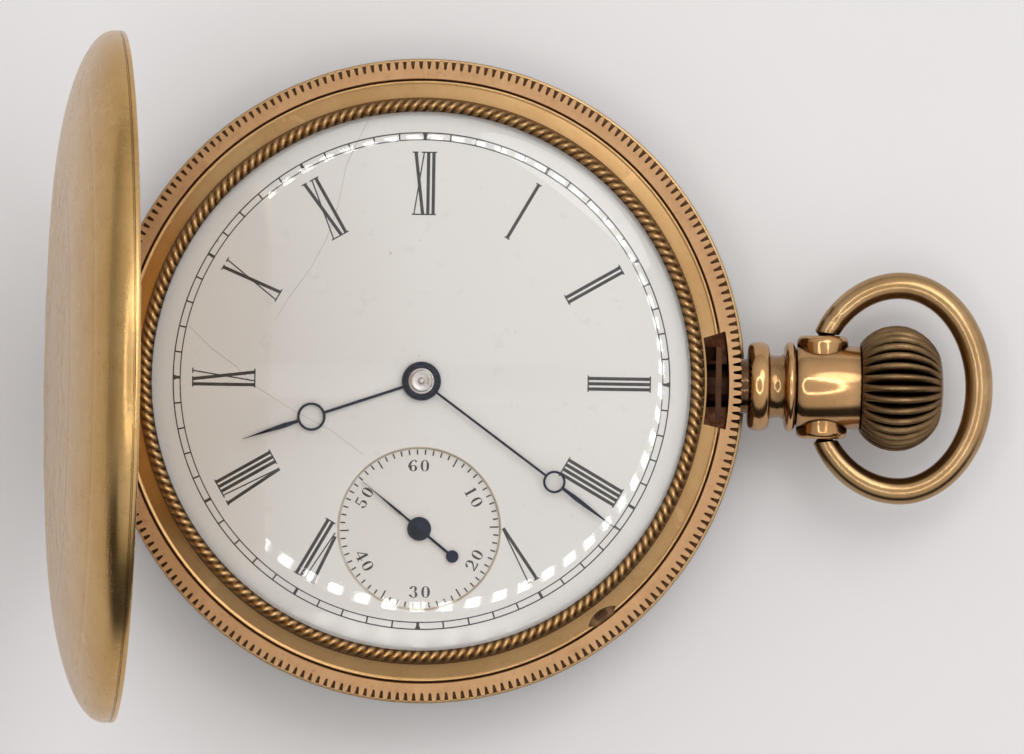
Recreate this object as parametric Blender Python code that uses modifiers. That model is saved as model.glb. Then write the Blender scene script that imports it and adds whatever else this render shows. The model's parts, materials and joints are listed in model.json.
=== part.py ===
"""A hunter pocket watch, lying on its back with the front cover open.

Metres, +Z up. The origin is the middle of the flat that the back cover rests on, +X points
to the crown and +Y to twelve o'clock. Run it with blender --background --python part.py.
"""

import math

import bmesh
import bpy
from mathutils import Matrix, Vector

MM = 0.001

# Case
CASE_RADIUS = 20.75 * MM
COVER_WALL = 0.5 * MM
COVER_RIM = 0.7 * MM
DOME_CROWN = 2.3
BACK_FLAT = 6.5 * MM
FRONT_CROWN = 1.5
FRONT_FLAT = 10.0 * MM
FRONT_RIM = 0.5 * MM
COVER_LEDGE = 0.35 * MM
COVER_SEAT = 1.35 * MM
FRONT_DEPTH = 3.9 * MM
BACK_DEPTH = 4.15 * MM
BAND_HEIGHT = 4.4 * MM
BAND_SET_BACK = 0.77 * MM
# A quarter of the notches that the real edge has, each as much wider
COIN_NOTCHES = 61
COIN_DEPTH = 0.5 * MM
COIN_HEIGHT = 3.0 * MM
COIN_REACH = 0.17 * MM
COVER_FLANGE = 0.89 * MM
SPRING_WALL = 1.68 * MM
PLATE_PLAY = 0.25 * MM
PLATE_REST = 0.85 * MM
LEDGE_THICK = 0.3 * MM
DUST_WALL = 0.35 * MM
DUST_LIP = 0.4 * MM
DUST_SLOPE = 6.15 * MM
DUST_PLAY = 0.15 * MM
DUST_HEADROOM = 0.2 * MM
FRONT_OPEN = math.radians(82.5)

# Clearances
SEAT_GAP = 0.05 * MM
RUN_GAP = 0.1 * MM
PIVOT_GAP = 0.03 * MM

# Hinges
KNUCKLE = 0.55 * MM
KNUCKLE_LENGTH = 2.3 * MM
HINGE_INSET = 0.15 * MM
HINGE_PIN = 0.22 * MM
DUST_KNUCKLE = 0.4 * MM
DUST_KNUCKLE_LENGTH = 1.4 * MM
DUST_HINGE_OUT = 0.55 * MM
DUST_HINGE_DROP = 0.2 * MM
HINGE_LEAF = 0.5 * MM

# Bezel, crystal and dial
BEZEL_SEAM = 0.11 * MM
BEZEL_FOOT = 0.35 * MM
DIAL_STAND = 0.25 * MM
ROPE_WIDTH = 0.97 * MM
ROPE_HEIGHT = 0.45 * MM
ROPE_LIFT = 0.46 * MM
BEZEL_SLOPE = 0.89 * MM
CRYSTAL_GROOVE = 0.27 * MM
CRYSTAL_EDGE = 0.26 * MM
CRYSTAL_LIFT = 0.26 * MM
CRYSTAL_RISE = 1.57 * MM
CRYSTAL_THICK = 0.6 * MM
DIAL_THICK = 0.4 * MM
DIAL_LAP = 0.1 * MM
DIAL_HOLE = 1.15 * MM
SECONDS_RADIUS = 5.2 * MM
SECONDS_SINK = 0.28 * MM

# Pendant, bow and crown
PENDANT_DROP = 0.4 * MM
SPIGOT_WALL = 0.05 * MM
BASE_RING = 2.87 * MM
BASE_LENGTH = 1.39 * MM
NECK = 1.98 * MM
NECK_LENGTH = 0.96 * MM
COLLAR = 2.9 * MM
COLLAR_LENGTH = 0.76 * MM
TUBE = 2.68 * MM
TUBE_LENGTH = 4.44 * MM
EAR = 1.65 * MM
EAR_REACH = 0.62 * MM
EAR_PLACE = 1.65 * MM
BOW_WIRE = 0.88 * MM
BOW_PIN = 0.45 * MM
BOW_LENGTH = 5.1 * MM
BOW_SPREAD = 3.28 * MM
BOW_ENDS = 144.0
BOW_PIVOT_LEAD = 0.4 * MM
BOW_END_LAP = 0.55 * MM
BOW_POINTS = 29
CROWN_OVERHANG = 1.35 * MM
CROWN_LENGTH = 5.3 * MM
CROWN_FLUTES = 32
CROWN_FLUTE_DEPTH = 0.42 * MM
CROWN_SKIRT = 0.35 * MM
CROWN_ROOM = 0.27 * MM
TUBE_ROOM = 0.9 * MM
STEM_SOCKET = 2.9 * MM
SLEEVE_WALL = 0.37 * MM
STEM = 0.45 * MM
WINDING_LEAVES = 12
WINDING_RADIUS = 1.15 * MM
WINDING_LENGTH = 1.2 * MM

# Catch and setting lever
RECESS_DEPTH = 1.4 * MM
RECESS_HALF = 2.9 * MM
RECESS_WALL = 0.43 * MM
CATCH_INSET = 0.5 * MM
CATCH_THICK = 0.3 * MM
CATCH_WIDTH = 0.9 * MM
CATCH_REACH = 2.2 * MM
LOCK_START, LOCK_END = -50.0, 8.0
LIFT_START, LIFT_END = 142.0, 218.0
LEVER_ANGLE = math.radians(-51.6)
LEVER_INSET = 0.19 * MM
LEVER_SLOT = 0.42 * MM
LEVER_HALF = 1.1 * MM
LEVER_TAIL = 2.2 * MM
LEVER_NAIL = 0.4 * MM

# Hands
HAND_THICK = 0.12 * MM
HOUR_SHORTER = 3.7 * MM
HOUR_TIP = 4.6 * MM
HOUR_RING = 0.9 * MM
MINUTE_INSET = 1.58 * MM
MINUTE_TIP = 5.05 * MM
MINUTE_RING = 0.72 * MM
SECONDS_INSET = 0.54 * MM
SECONDS_TAIL = 2.74 * MM
SECONDS_BALL = 0.5 * MM
SECONDS_HUB = 0.75 * MM
HOUR_HUB = 1.5 * MM
MINUTE_HUB = 1.21 * MM
HAND_STEM = 0.2 * MM
HOUR_STAND = 0.16 * MM
MINUTE_STAND = 0.42 * MM
SECONDS_STAND = 0.18 * MM
HOUR_ANGLE = math.radians(251.2)
MINUTE_ANGLE = math.radians(126.3)
SECONDS_ANGLE = math.radians(309.0)

# Movement
TOP_PLATE_THICK = 0.7 * MM
PLATE_SPACE = 2.0 * MM
PILLAR_PLATE_THICK = 0.8 * MM
MOTION_SPACE = 1.1 * MM
PLATE_EDGE_LAP = 1.1 * MM
PILLAR = 0.8 * MM
WHEEL_THICK = 0.2 * MM
ARBOR = 0.2 * MM
PIVOT_SHARE = 0.6
CANNON_PIPE = 0.72 * MM
HOUR_PIPE = 1.0 * MM
STRIP = 0.2 * MM
STRIP_CLEAR = 0.15 * MM
STRIP_INSET = 0.75 * MM
STRIP_LIFT = 0.6 * MM
COCK_THICK = 0.5 * MM
COCK_DROP = 1.15 * MM
REGULATOR_THICK = 0.25 * MM
REGULATOR_LEAN = math.radians(28)
PINION_LENGTH = 0.36 * MM
CENTRE_POST = 0.38 * MM
BARREL_WALL = 0.2 * MM
BARREL_ARBOR = 0.75 * MM
ARBOR_TOP = 0.6 * MM
ARBOR_CORE = 1.2 * MM
RIBBON = 0.12 * MM
RIBBON_PITCH = 0.62 * MM
RIBBON_POINTS = 12
SCREW = 0.4 * MM
SCREW_HEAD = 0.8 * MM
SCREW_HEAD_THICK = 0.3 * MM
CASE_SCREW_HEAD = 0.9 * MM
CASE_SCREW_INSET = 0.5 * MM
RATCHET_THICK = 0.35 * MM
CONTRATE = 2.0 * MM
CLICK = 0.8 * MM
CLICK_NOSE = 1.25 * MM
JEWEL = 0.6 * MM
BALANCE_HEIGHT = 0.45 * MM
BALANCE_RIM = 0.6 * MM
BALANCE_ROOM = 0.7 * MM
BALANCE_SPACE = 0.35 * MM
TIMING_SCREWS = 12
TIMING_REACH = 0.3 * MM
STAFF = 0.3 * MM
HAIR_WIRE = 0.08 * MM
HAIR_PITCH = 0.62 * MM
HAIR_POINTS = 24
HAIR_SHARE = 0.55
FOOT = 1.8 * MM
FOOT_ROOM = 0.4 * MM
COCK_HEAD = 1.5 * MM
BRIDGE = 0.8 * MM
BRIDGE_THICK = 0.25 * MM
FORK_LIFT = 0.38 * MM
ESCAPE_LIFT = 0.62 * MM
FORK_SHARE = 0.49
# Half of the pallet fork's outline, along its reach from pivot to balance staff
FORK_HALF = (
    (0.57, 0.05), (0.71, 0.09), (0.71, 0.18), (0.54, 0.1), (0.17, 0.09), (0.09, 0.26),
    (-0.14, 0.5), (-0.39, 0.61), (-0.43, 0.54), (-0.23, 0.41), (-0.11, 0.2), (-0.14, 0.03),
)

# Tooth counts: barrel to centre pinion, then the train to the escape wheel
BARREL_TEETH, CENTRE_LEAVES = 48, 6
CENTRE_TEETH, THIRD_LEAVES = 48, 6
THIRD_TEETH, FOURTH_LEAVES = 45, 6
FOURTH_TEETH, ESCAPE_LEAVES = 60, 6
ESCAPE_TEETH = 15
CANNON_LEAVES, MINUTE_TEETH = 10, 30
MINUTE_LEAVES, HOUR_TEETH = 8, 32
RATCHET_TEETH, CROWN_WHEEL_TEETH = 48, 24
# How far teeth reach over and under the pitch circle, in modules
TOOTH_TIP = 0.85
TOOTH_ROOT = 1.6
LEAF_ROOT = 1.15

# Facets
TURN_STEPS = 32
ROUND_STEPS = 16
SMALL_STEPS = 8

# Heights, from the back cover's flat upwards
BAND_BOTTOM = BACK_DEPTH + SEAT_GAP
BAND_TOP = BAND_BOTTOM + BAND_HEIGHT
BEZEL_SEAT = BAND_TOP - BEZEL_FOOT
DIAL_TOP = BEZEL_SEAT + DIAL_STAND
DIAL_BOTTOM = DIAL_TOP - DIAL_THICK
PILLAR_TOP = DIAL_BOTTOM - MOTION_SPACE
PILLAR_BOTTOM = PILLAR_TOP - PILLAR_PLATE_THICK
TOP_UPPER = PILLAR_BOTTOM - PLATE_SPACE
TOP_LOWER = TOP_UPPER - TOP_PLATE_THICK
COCK_LOWER = TOP_LOWER - COCK_DROP
COCK_UPPER = COCK_LOWER + COCK_THICK
REGULATOR_LOWER = COCK_LOWER - SEAT_GAP - REGULATOR_THICK
DUST_INSIDE = REGULATOR_LOWER - DUST_HEADROOM
PENDANT_Z = (BAND_BOTTOM + BAND_TOP) / 2 - PENDANT_DROP
SPIGOT = PENDANT_Z - BAND_BOTTOM - SPIGOT_WALL
SLEEVE = SPIGOT - SLEEVE_WALL

# Radii, from the case's edge inwards
BAND_RADIUS = CASE_RADIUS - BAND_SET_BACK
BEZEL_RADIUS = BAND_RADIUS - COVER_FLANGE
DIAL_WINDOW = BEZEL_RADIUS - BEZEL_SLOPE - ROPE_WIDTH
DIAL_RADIUS = DIAL_WINDOW + DIAL_LAP
PLATE_RADIUS = DIAL_RADIUS
PLATE_WALL = DIAL_RADIUS + PLATE_PLAY
PLATE_LEDGE = PLATE_WALL - PLATE_REST
TOP_PLATE_RADIUS = PLATE_RADIUS - PLATE_EDGE_LAP
SPRING_SPACE = BAND_RADIUS - SPRING_WALL
DUST_RADIUS = SPRING_SPACE - DUST_PLAY
DUST_FLAT = DUST_RADIUS - DUST_SLOPE
STRIP_RADIUS = SPRING_SPACE - STRIP_INSET
STRIP_LOW = BAND_BOTTOM + STRIP_LIFT
STRIP_HIGH = PENDANT_Z - STEM - STRIP_CLEAR

MINUTE_HAND = DIAL_WINDOW - MINUTE_INSET
MINUTE_RING_AT = MINUTE_HAND - MINUTE_TIP
HOUR_HAND = MINUTE_HAND - HOUR_SHORTER
HOUR_RING_AT = HOUR_HAND - HOUR_TIP
SECONDS_HAND = SECONDS_RADIUS - SECONDS_INSET
HOUR_Z = DIAL_TOP + HOUR_STAND
MINUTE_Z = DIAL_TOP + MINUTE_STAND
SECONDS_Z = DIAL_TOP - SECONDS_SINK + SECONDS_STAND
RECESS_OUT = BAND_RADIUS - RECESS_WALL
RECESS_IN = RECESS_OUT - RECESS_DEPTH
LEVER_OUT = BEZEL_RADIUS - LEVER_INSET
ROPE_Z = BAND_TOP + ROPE_LIFT
CRYSTAL_Z = DIAL_TOP + CRYSTAL_LIFT
FRONT_HINGE_Z = BAND_TOP + SEAT_GAP / 2
BACK_HINGE_Z = BAND_BOTTOM - SEAT_GAP / 2
BASE_START = CASE_RADIUS + RUN_GAP
BASE_END = BASE_START + BASE_LENGTH
NECK_END = BASE_END + NECK_LENGTH
COLLAR_END = NECK_END + COLLAR_LENGTH
TUBE_END = COLLAR_END + TUBE_LENGTH
EAR_X = COLLAR_END + EAR_PLACE
BOW_PIVOT_X = EAR_X + BOW_PIVOT_LEAD
BOW_WIDTH = TUBE + EAR_REACH + BOW_SPREAD
BOW_CENTRE = BOW_LENGTH - BOW_END_LAP
CROWN = TUBE + CROWN_OVERHANG
CROWN_X = TUBE_END - CROWN_SKIRT
HINGE_X = -(CASE_RADIUS - HINGE_INSET)
DUST_HINGE_X = -(DUST_RADIUS + DUST_HINGE_OUT)
DUST_HINGE_Z = BAND_BOTTOM - DUST_HINGE_DROP


def polar(radius, angle):
    return (radius * math.cos(angle), radius * math.sin(angle))


# The calibre's plan: places on the plates as shares of the plate's radius
CENTRE = (0.0, 0.0)
FOURTH = (0.0, -0.5424 * PLATE_RADIUS)
CENTRE_TO_THIRD = 0.3116 * PLATE_RADIUS
THIRD_TO_FOURTH = 0.2721 * PLATE_RADIUS
FOURTH_TO_ESCAPE = 0.2666 * PLATE_RADIUS
BARREL_TO_CENTRE = 0.3973 * PLATE_RADIUS
RATCHET_TO_CROWN = 0.5193 * PLATE_RADIUS
CROWN_WHEEL = (0.6463 * PLATE_RADIUS, 0.0)
BALANCE_RADIUS = 0.2827 * PLATE_RADIUS
ESCAPE_RADIUS = 0.1385 * PLATE_RADIUS
MINUTE_STUD = polar(0.1385 * PLATE_RADIUS, math.radians(40))
BALANCE = polar(0.5979 * PLATE_RADIUS, math.radians(202.1))
COCK_FOOT = polar(0.79 * PLATE_RADIUS, math.radians(161.3))
PILLARS = [polar(0.854 * PLATE_RADIUS, math.radians(a)) for a in (30, 110, 312)]
CASE_SCREWS = [polar(PLATE_LEDGE - CASE_SCREW_INSET, math.radians(a)) for a in (70, 285)]


def third_place():
    """The third wheel's place, from its distances to the centre and fourth wheels."""
    span = -FOURTH[1]
    down = (CENTRE_TO_THIRD**2 - THIRD_TO_FOURTH**2 + span**2) / (2 * span)
    return (math.sqrt(CENTRE_TO_THIRD**2 - down**2), -down)


def barrel_place():
    """The barrel's place, from its distances to the centre and the crown wheel."""
    span = CROWN_WHEEL[0]
    along = (BARREL_TO_CENTRE**2 - RATCHET_TO_CROWN**2 + span**2) / (2 * span)
    return (along, math.sqrt(BARREL_TO_CENTRE**2 - along**2))


THIRD = third_place()
BARREL = barrel_place()
ESCAPE = tuple(a + b for a, b in zip(FOURTH, polar(FOURTH_TO_ESCAPE, math.radians(170))))
FORK = tuple(a + (b - a) * FORK_SHARE for a, b in zip(ESCAPE, BALANCE))
BARREL_MODULE = 2 * BARREL_TO_CENTRE / (BARREL_TEETH + CENTRE_LEAVES)
CENTRE_MODULE = 2 * CENTRE_TO_THIRD / (CENTRE_TEETH + THIRD_LEAVES)
THIRD_MODULE = 2 * THIRD_TO_FOURTH / (THIRD_TEETH + FOURTH_LEAVES)
FOURTH_MODULE = 2 * FOURTH_TO_ESCAPE / (FOURTH_TEETH + ESCAPE_LEAVES)
MOTION_MODULE = 2 * math.hypot(*MINUTE_STUD) / (CANNON_LEAVES + MINUTE_TEETH)
RATCHET_MODULE = 2 * RATCHET_TO_CROWN / (RATCHET_TEETH + CROWN_WHEEL_TEETH)
CLICK_REACH = RATCHET_MODULE * (RATCHET_TEETH / 2 + TOOTH_TIP) + CLICK_NOSE + RUN_GAP
CLICK_AT = tuple(a + b for a, b in zip(BARREL, polar(CLICK_REACH, math.radians(150))))
BRIDGE_FOOT = tuple(a + b for a, b in zip(FORK, polar(0.196 * PLATE_RADIUS, math.radians(227))))
WINDING_X = CROWN_WHEEL[0] + CONTRATE - WINDING_LENGTH / 2
RATCHET_HIGH = TOP_LOWER - RUN_GAP
RATCHET_LOW = RATCHET_HIGH - RATCHET_THICK
BALANCE_LOW = COCK_UPPER + BALANCE_SPACE
FORK_LOW = TOP_UPPER + FORK_LIFT
BRIDGE_LOW = TOP_UPPER + SEAT_GAP
ESCAPE_PINION = FORK_LOW + ESCAPE_LIFT

FINISHES = {
    "gold": ((0.50, 0.30, 0.13), 1.0, 0.32),
    "worn_gold": ((0.36, 0.21, 0.09), 1.0, 0.38),
    "brass": ((0.56, 0.40, 0.16), 1.0, 0.34),
    "nickel": ((0.62, 0.60, 0.56), 1.0, 0.3),
    "steel": ((0.55, 0.56, 0.58), 1.0, 0.25),
    "blued": ((0.02, 0.03, 0.07), 1.0, 0.3),
    "enamel": ((0.72, 0.69, 0.66), 0.0, 0.15),
    "glass": ((0.9, 0.92, 0.92), 0.0, 0.03),
    "ruby": ((0.35, 0.02, 0.05), 0.0, 0.1),
}


def clear_scene():
    for obj in list(bpy.data.objects):
        bpy.data.objects.remove(obj, do_unlink=True)


clear_scene()
WATCH = bpy.data.collections.new("hunter_pocket_watch")
CUTTERS = bpy.data.collections.new("cutters")
for group in (WATCH, CUTTERS):
    bpy.context.scene.collection.children.link(group)


def place(obj, x=0.0, y=0.0, z=0.0):
    obj.location = (x, y, z)
    return obj


def along_x(obj, x=0.0, y=0.0, z=PENDANT_Z):
    """Turns a piece made about Z so that its Z lies along world X."""
    obj.rotation_euler = (0, math.pi / 2, 0)
    return place(obj, x, y, z)


def along_y(obj, x, y, z):
    """Turns a piece made about Z so that its Z lies along world Y."""
    obj.rotation_euler = (-math.pi / 2, 0, 0)
    return place(obj, x, y, z)


def helper(obj):
    """Keeps a cutter, or a shape that is joined to another, out of the renders."""
    for group in list(obj.users_collection):
        group.objects.unlink(obj)
    CUTTERS.objects.link(obj)
    obj.hide_render = True
    obj.display_type = "WIRE"
    return obj


def finish(obj, kind):
    """Gives a part its own material and shades it smooth between its sharp edges."""
    colour, metallic, roughness = FINISHES[kind]
    material = bpy.data.materials.new(obj.name + "_finish")
    material.use_nodes = True
    shader = material.node_tree.nodes["Principled BSDF"]
    shader.inputs["Base Color"].default_value = (*colour, 1.0)
    shader.inputs["Metallic"].default_value = metallic
    shader.inputs["Roughness"].default_value = roughness
    if kind == "glass":
        shader.inputs["Transmission Weight"].default_value = 1.0
    obj.data.materials.clear()
    obj.data.materials.append(material)
    obj.data.shade_smooth()
    obj.data.set_sharp_from_angle(angle=math.radians(35))
    if any(step.type == "BOOLEAN" for step in obj.modifiers):
        merge = obj.modifiers.new("merge_flat_faces", "DECIMATE")
        merge.decimate_type = "DISSOLVE"
        merge.angle_limit = math.radians(0.2)
    return obj


def turned(name, profile, steps=TURN_STEPS):
    """A solid turned about Z. The profile of (radius, height) runs down its outer side."""
    points = [(radius, 0, height) for radius, height in profile]
    edges = [(i, i + 1) for i in range(len(points) - 1)]
    if profile[0][0] > 0 or profile[-1][0] > 0:
        edges.append((len(points) - 1, 0))
    mesh = bpy.data.meshes.new(name)
    mesh.from_pydata(points, edges, [])
    obj = bpy.data.objects.new(name, mesh)
    WATCH.objects.link(obj)
    screw = obj.modifiers.new("turn", "SCREW")
    screw.axis = "Z"
    screw.angle = 2 * math.pi
    screw.steps = steps
    screw.render_steps = steps
    screw.use_merge_vertices = True
    screw.merge_threshold = 1e-6
    return obj


def rod(name, radius, bottom, top, steps=SMALL_STEPS):
    return turned(name, [(0, top), (radius, top), (radius, bottom), (0, bottom)], steps)


def tube(name, outer, inner, bottom, top, steps=ROUND_STEPS):
    return turned(name, [(outer, top), (outer, bottom), (inner, bottom), (inner, top)], steps)


def box(name, low, high):
    mesh = bpy.data.meshes.new(name)
    shape = bmesh.new()
    bmesh.ops.create_cube(shape, size=1)
    size = Vector(high) - Vector(low)
    bmesh.ops.scale(shape, vec=size, verts=shape.verts)
    bmesh.ops.translate(shape, vec=(Vector(low) + Vector(high)) / 2, verts=shape.verts)
    shape.to_mesh(mesh)
    shape.free()
    obj = bpy.data.objects.new(name, mesh)
    WATCH.objects.link(obj)
    return obj


def sheet(name, outlines, bottom, top):
    """A flat piece between two heights: the first outline is its edge, the rest are holes."""
    curve = bpy.data.curves.new(name, "CURVE")
    curve.dimensions = "2D"
    curve.fill_mode = "BOTH"
    curve.extrude = (top - bottom) / 2
    for points in outlines:
        spline = curve.splines.new("POLY")
        spline.points.add(len(points) - 1)
        for point, (x, y) in zip(spline.points, points):
            point.co = (x, y, 0, 1)
        spline.use_cyclic_u = True
    obj = bpy.data.objects.new(name, curve)
    WATCH.objects.link(obj)
    flat = as_mesh(obj)
    flat.data.transform(Matrix.Translation((0, 0, (top + bottom) / 2)))
    return flat


def as_mesh(obj):
    """Replaces a curve with its closed mesh, so that it can be cut or joined."""
    name = obj.name
    bpy.context.view_layer.update()
    graph = bpy.context.evaluated_depsgraph_get()
    mesh = bpy.data.meshes.new_from_object(obj.evaluated_get(graph))
    shape = bmesh.new()
    shape.from_mesh(mesh)
    bmesh.ops.remove_doubles(shape, verts=shape.verts, dist=1e-7)
    bmesh.ops.recalc_face_normals(shape, faces=shape.faces)
    shape.to_mesh(mesh)
    shape.free()
    solid = bpy.data.objects.new(name + "_solid", mesh)
    solid.matrix_world = obj.matrix_world
    WATCH.objects.link(solid)
    bpy.data.objects.remove(obj, do_unlink=True)
    solid.name = name
    return solid


def combine(obj, others, operation):
    for other in others:
        helper(other)
        step = obj.modifiers.new(other.name, "BOOLEAN")
        step.operation = operation
        step.solver = "EXACT"
        step.object = other
    return obj


def cut(obj, *cutters):
    return combine(obj, cutters, "DIFFERENCE")


def join(obj, *others):
    return combine(obj, others, "UNION")


def circle(radius, steps, x=0.0, y=0.0, turn=0.0):
    points = []
    for i in range(steps):
        angle = turn + 2 * math.pi * i / steps
        points.append((x + radius * math.cos(angle), y + radius * math.sin(angle)))
    return points


def arc(x, y, radius, start, end, count):
    """Points from one angle in degrees to another, both ends included."""
    points = []
    for i in range(count):
        angle = math.radians(start + (end - start) * i / (count - 1))
        points.append((x + radius * math.cos(angle), y + radius * math.sin(angle)))
    return points


# Case: band, covers, hinges


def dome(radius, flat, depth, rim, crown, count):
    """Points down a domed outside, from its middle to its rim, above a rim plane at zero."""
    points = [(0, depth)]
    if flat > 0:
        points.append((flat, depth))
    for i in range(1, count):
        angle = math.pi / 2 * (1 - i / (count - 1))
        across = math.cos(angle) ** (2 / crown) if i < count - 1 else 1.0
        up = math.sin(angle) ** (2 / crown) if i < count - 1 else 0.0
        points.append((flat + (radius - flat) * across, rim + (depth - rim) * up))
    return points


def cover(name, depth, seat, up, flat, rim_height, crown):
    """A domed cover whose rim lies at seat. It bulges upwards, or downwards if up is -1."""
    outside = dome(CASE_RADIUS, flat, depth, rim_height, crown, 6)
    inside = dome(CASE_RADIUS - COVER_WALL, flat, depth - COVER_WALL, COVER_LEDGE, crown, 5)
    lip = CASE_RADIUS - COVER_SEAT
    rim = [(CASE_RADIUS, 0), (lip, 0), (lip, COVER_LEDGE)]
    profile = [(r, seat + up * h) for r, h in outside + rim + inside[::-1]]
    return turned(name, profile if up > 0 else profile[::-1])


def hinge_axis(name, x, z):
    axis = bpy.data.objects.new(name, None)
    WATCH.objects.link(axis)
    return place(axis, x, 0, z)


def hang(axis, *objects):
    """Parents pieces to a hinge axis, each staying where it is while the axis is unturned."""
    for obj in objects:
        obj.parent = axis
        obj.matrix_parent_inverse = Matrix.Translation(-Vector(axis.location))


def knuckle(name, radius, length, x, y, z):
    return along_y(rod(name, radius, -length / 2, length / 2, ROUND_STEPS), x, y, z)


def hinge_side(length):
    """How far along the hinge the middle of each outer knuckle lies."""
    return length + RUN_GAP


def hinge_bore(name, length, x, z):
    return knuckle(name, HINGE_PIN + PIVOT_GAP, 4 * length, x, 0, z)


def hinge_pin(name, length, x, z):
    reach = 3 * length + 2 * RUN_GAP
    return finish(knuckle(name, HINGE_PIN, reach, x, 0, z), "worn_gold")


def swing_cover(obj, axis, radius, length, leaf=None):
    """Gives a cover its middle knuckle, and room for the band's two outer ones."""
    x, _, z = axis.location
    name = obj.name
    middle = [knuckle(name + "_knuckle", radius, length, x, 0, z)]
    if leaf:
        middle.append(leaf)
    room = []
    for side in (-1, 1):
        y = side * hinge_side(length)
        room.append(knuckle(name + "_room", radius + RUN_GAP, length + 1.5 * RUN_GAP, x, y, z))
    bore = hinge_bore(name + "_bore", length, x, z)
    cut(obj, *room)
    join(obj, *middle)
    cut(obj, bore)
    hang(axis, obj, bore, *middle, *room)
    return obj


def band_hinge(band, name, radius, length, x, z, leaf=None):
    """Gives the band the two outer knuckles of a hinge, and room for the cover's one.

    leaf is the lowest and highest level of the leaf that ties each knuckle to the band.
    Knuckles without one are sunk in the band, so the band is bored with them.
    """
    cut(band, knuckle(name + "_room", radius + RUN_GAP, length + RUN_GAP, x, 0, z))
    half = length / 2 - SEAT_GAP
    bore = HINGE_PIN + PIVOT_GAP
    for side in (-1, 1):
        y = side * hinge_side(length)
        ring = tube(name + "_knuckle", radius, bore, -length / 2, length / 2)
        join(band, along_y(ring, x, y, z))
        if leaf:
            low = (x + (bore + radius) / 2, y - half, leaf[0])
            join(band, box(name + "_leaf", low, (HINGE_LEAF - BAND_RADIUS, y + half, leaf[1])))
    if not leaf:
        cut(band, hinge_bore(name + "_bore", length, x, z))


def coin_edge():
    """The notched edge round the band: one tooth and one notch for each count."""
    tip = CASE_RADIUS - COIN_REACH
    rim = []
    for i in range(2 * COIN_NOTCHES):
        radius = tip if i % 2 == 0 else tip - COIN_DEPTH
        rim.append(polar(radius, math.pi * (i + 0.5) / COIN_NOTCHES))
    middle = (BAND_BOTTOM + BAND_TOP) / 2
    hole = circle(BAND_RADIUS - RECESS_WALL / 2, TURN_STEPS)
    return sheet("coin_edge", [rim, hole], middle - COIN_HEIGHT / 2, middle + COIN_HEIGHT / 2)


def case_band():
    ledge = PILLAR_BOTTOM - SEAT_GAP
    seat = BEZEL_RADIUS + BEZEL_SEAM
    band = turned(
        "case_band",
        [
            (BAND_RADIUS, BAND_TOP),
            (BAND_RADIUS, BAND_BOTTOM),
            (SPRING_SPACE, BAND_BOTTOM),
            (SPRING_SPACE, ledge - LEDGE_THICK),
            (PLATE_LEDGE, ledge - LEDGE_THICK),
            (PLATE_LEDGE, ledge),
            (PLATE_WALL, ledge),
            (PLATE_WALL, BEZEL_SEAT),
            (seat, BEZEL_SEAT),
            (seat, BAND_TOP),
        ],
    )
    sleeve_room = rod("sleeve_room", SLEEVE + RUN_GAP, PLATE_LEDGE - KNUCKLE,
                      RECESS_OUT + SEAT_GAP, ROUND_STEPS)
    cut(band, catch_recess("band_recess"), lock_room(), lever_channel(), along_x(sleeve_room))
    join(band, coin_edge())
    spigot_room = rod("spigot_room", SPIGOT + PIVOT_GAP, RECESS_OUT - RUN_GAP,
                      CASE_RADIUS + KNUCKLE, ROUND_STEPS)
    cut(band, along_x(spigot_room))
    band_hinge(band, "front_hinge", KNUCKLE, KNUCKLE_LENGTH, HINGE_X, FRONT_HINGE_Z,
               (BAND_TOP - HINGE_LEAF, BAND_TOP - SEAT_GAP))
    band_hinge(band, "back_hinge", KNUCKLE, KNUCKLE_LENGTH, HINGE_X, BACK_HINGE_Z,
               (BAND_BOTTOM + SEAT_GAP, BAND_BOTTOM + HINGE_LEAF))
    band_hinge(band, "dust_hinge", DUST_KNUCKLE, DUST_KNUCKLE_LENGTH, DUST_HINGE_X,
               DUST_HINGE_Z)
    return finish(band, "gold")


def catch_recess(name):
    """Room at the pendant for the catch, open upwards, with its inner face set by the press."""
    return box(
        name,
        (RECESS_IN, -RECESS_HALF, STRIP_LOW - SEAT_GAP),
        (RECESS_OUT, RECESS_HALF, BAND_TOP + COVER_RIM),
    )


def lock_room():
    """The way from the spring's space through the band's wall for the foot of the catch."""
    side = SLEEVE + RUN_GAP
    return box(
        "lock_room",
        (STRIP_RADIUS - STRIP, side, STRIP_LOW - PIVOT_GAP),
        (RECESS_IN + RUN_GAP, side + CATCH_WIDTH + 2 * RUN_GAP, STRIP_HIGH + SEAT_GAP),
    )


def covers():
    front = hinge_axis("front_hinge", HINGE_X, FRONT_HINGE_Z)
    lid = cover("front_cover", FRONT_DEPTH, BAND_TOP + SEAT_GAP, 1, FRONT_FLAT, FRONT_RIM, FRONT_CROWN)
    finish(swing_cover(lid, front, KNUCKLE, KNUCKLE_LENGTH), "gold")
    front.rotation_euler.y = -FRONT_OPEN
    back = hinge_axis("back_hinge", HINGE_X, BACK_HINGE_Z)
    shell = cover("back_cover", BACK_DEPTH, BACK_DEPTH, -1, BACK_FLAT, COVER_RIM, DOME_CROWN)
    finish(swing_cover(shell, back, KNUCKLE, KNUCKLE_LENGTH), "gold")
    hinge_pin("front_hinge_pin", KNUCKLE_LENGTH, HINGE_X, FRONT_HINGE_Z)
    hinge_pin("back_hinge_pin", KNUCKLE_LENGTH, HINGE_X, BACK_HINGE_Z)


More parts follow.
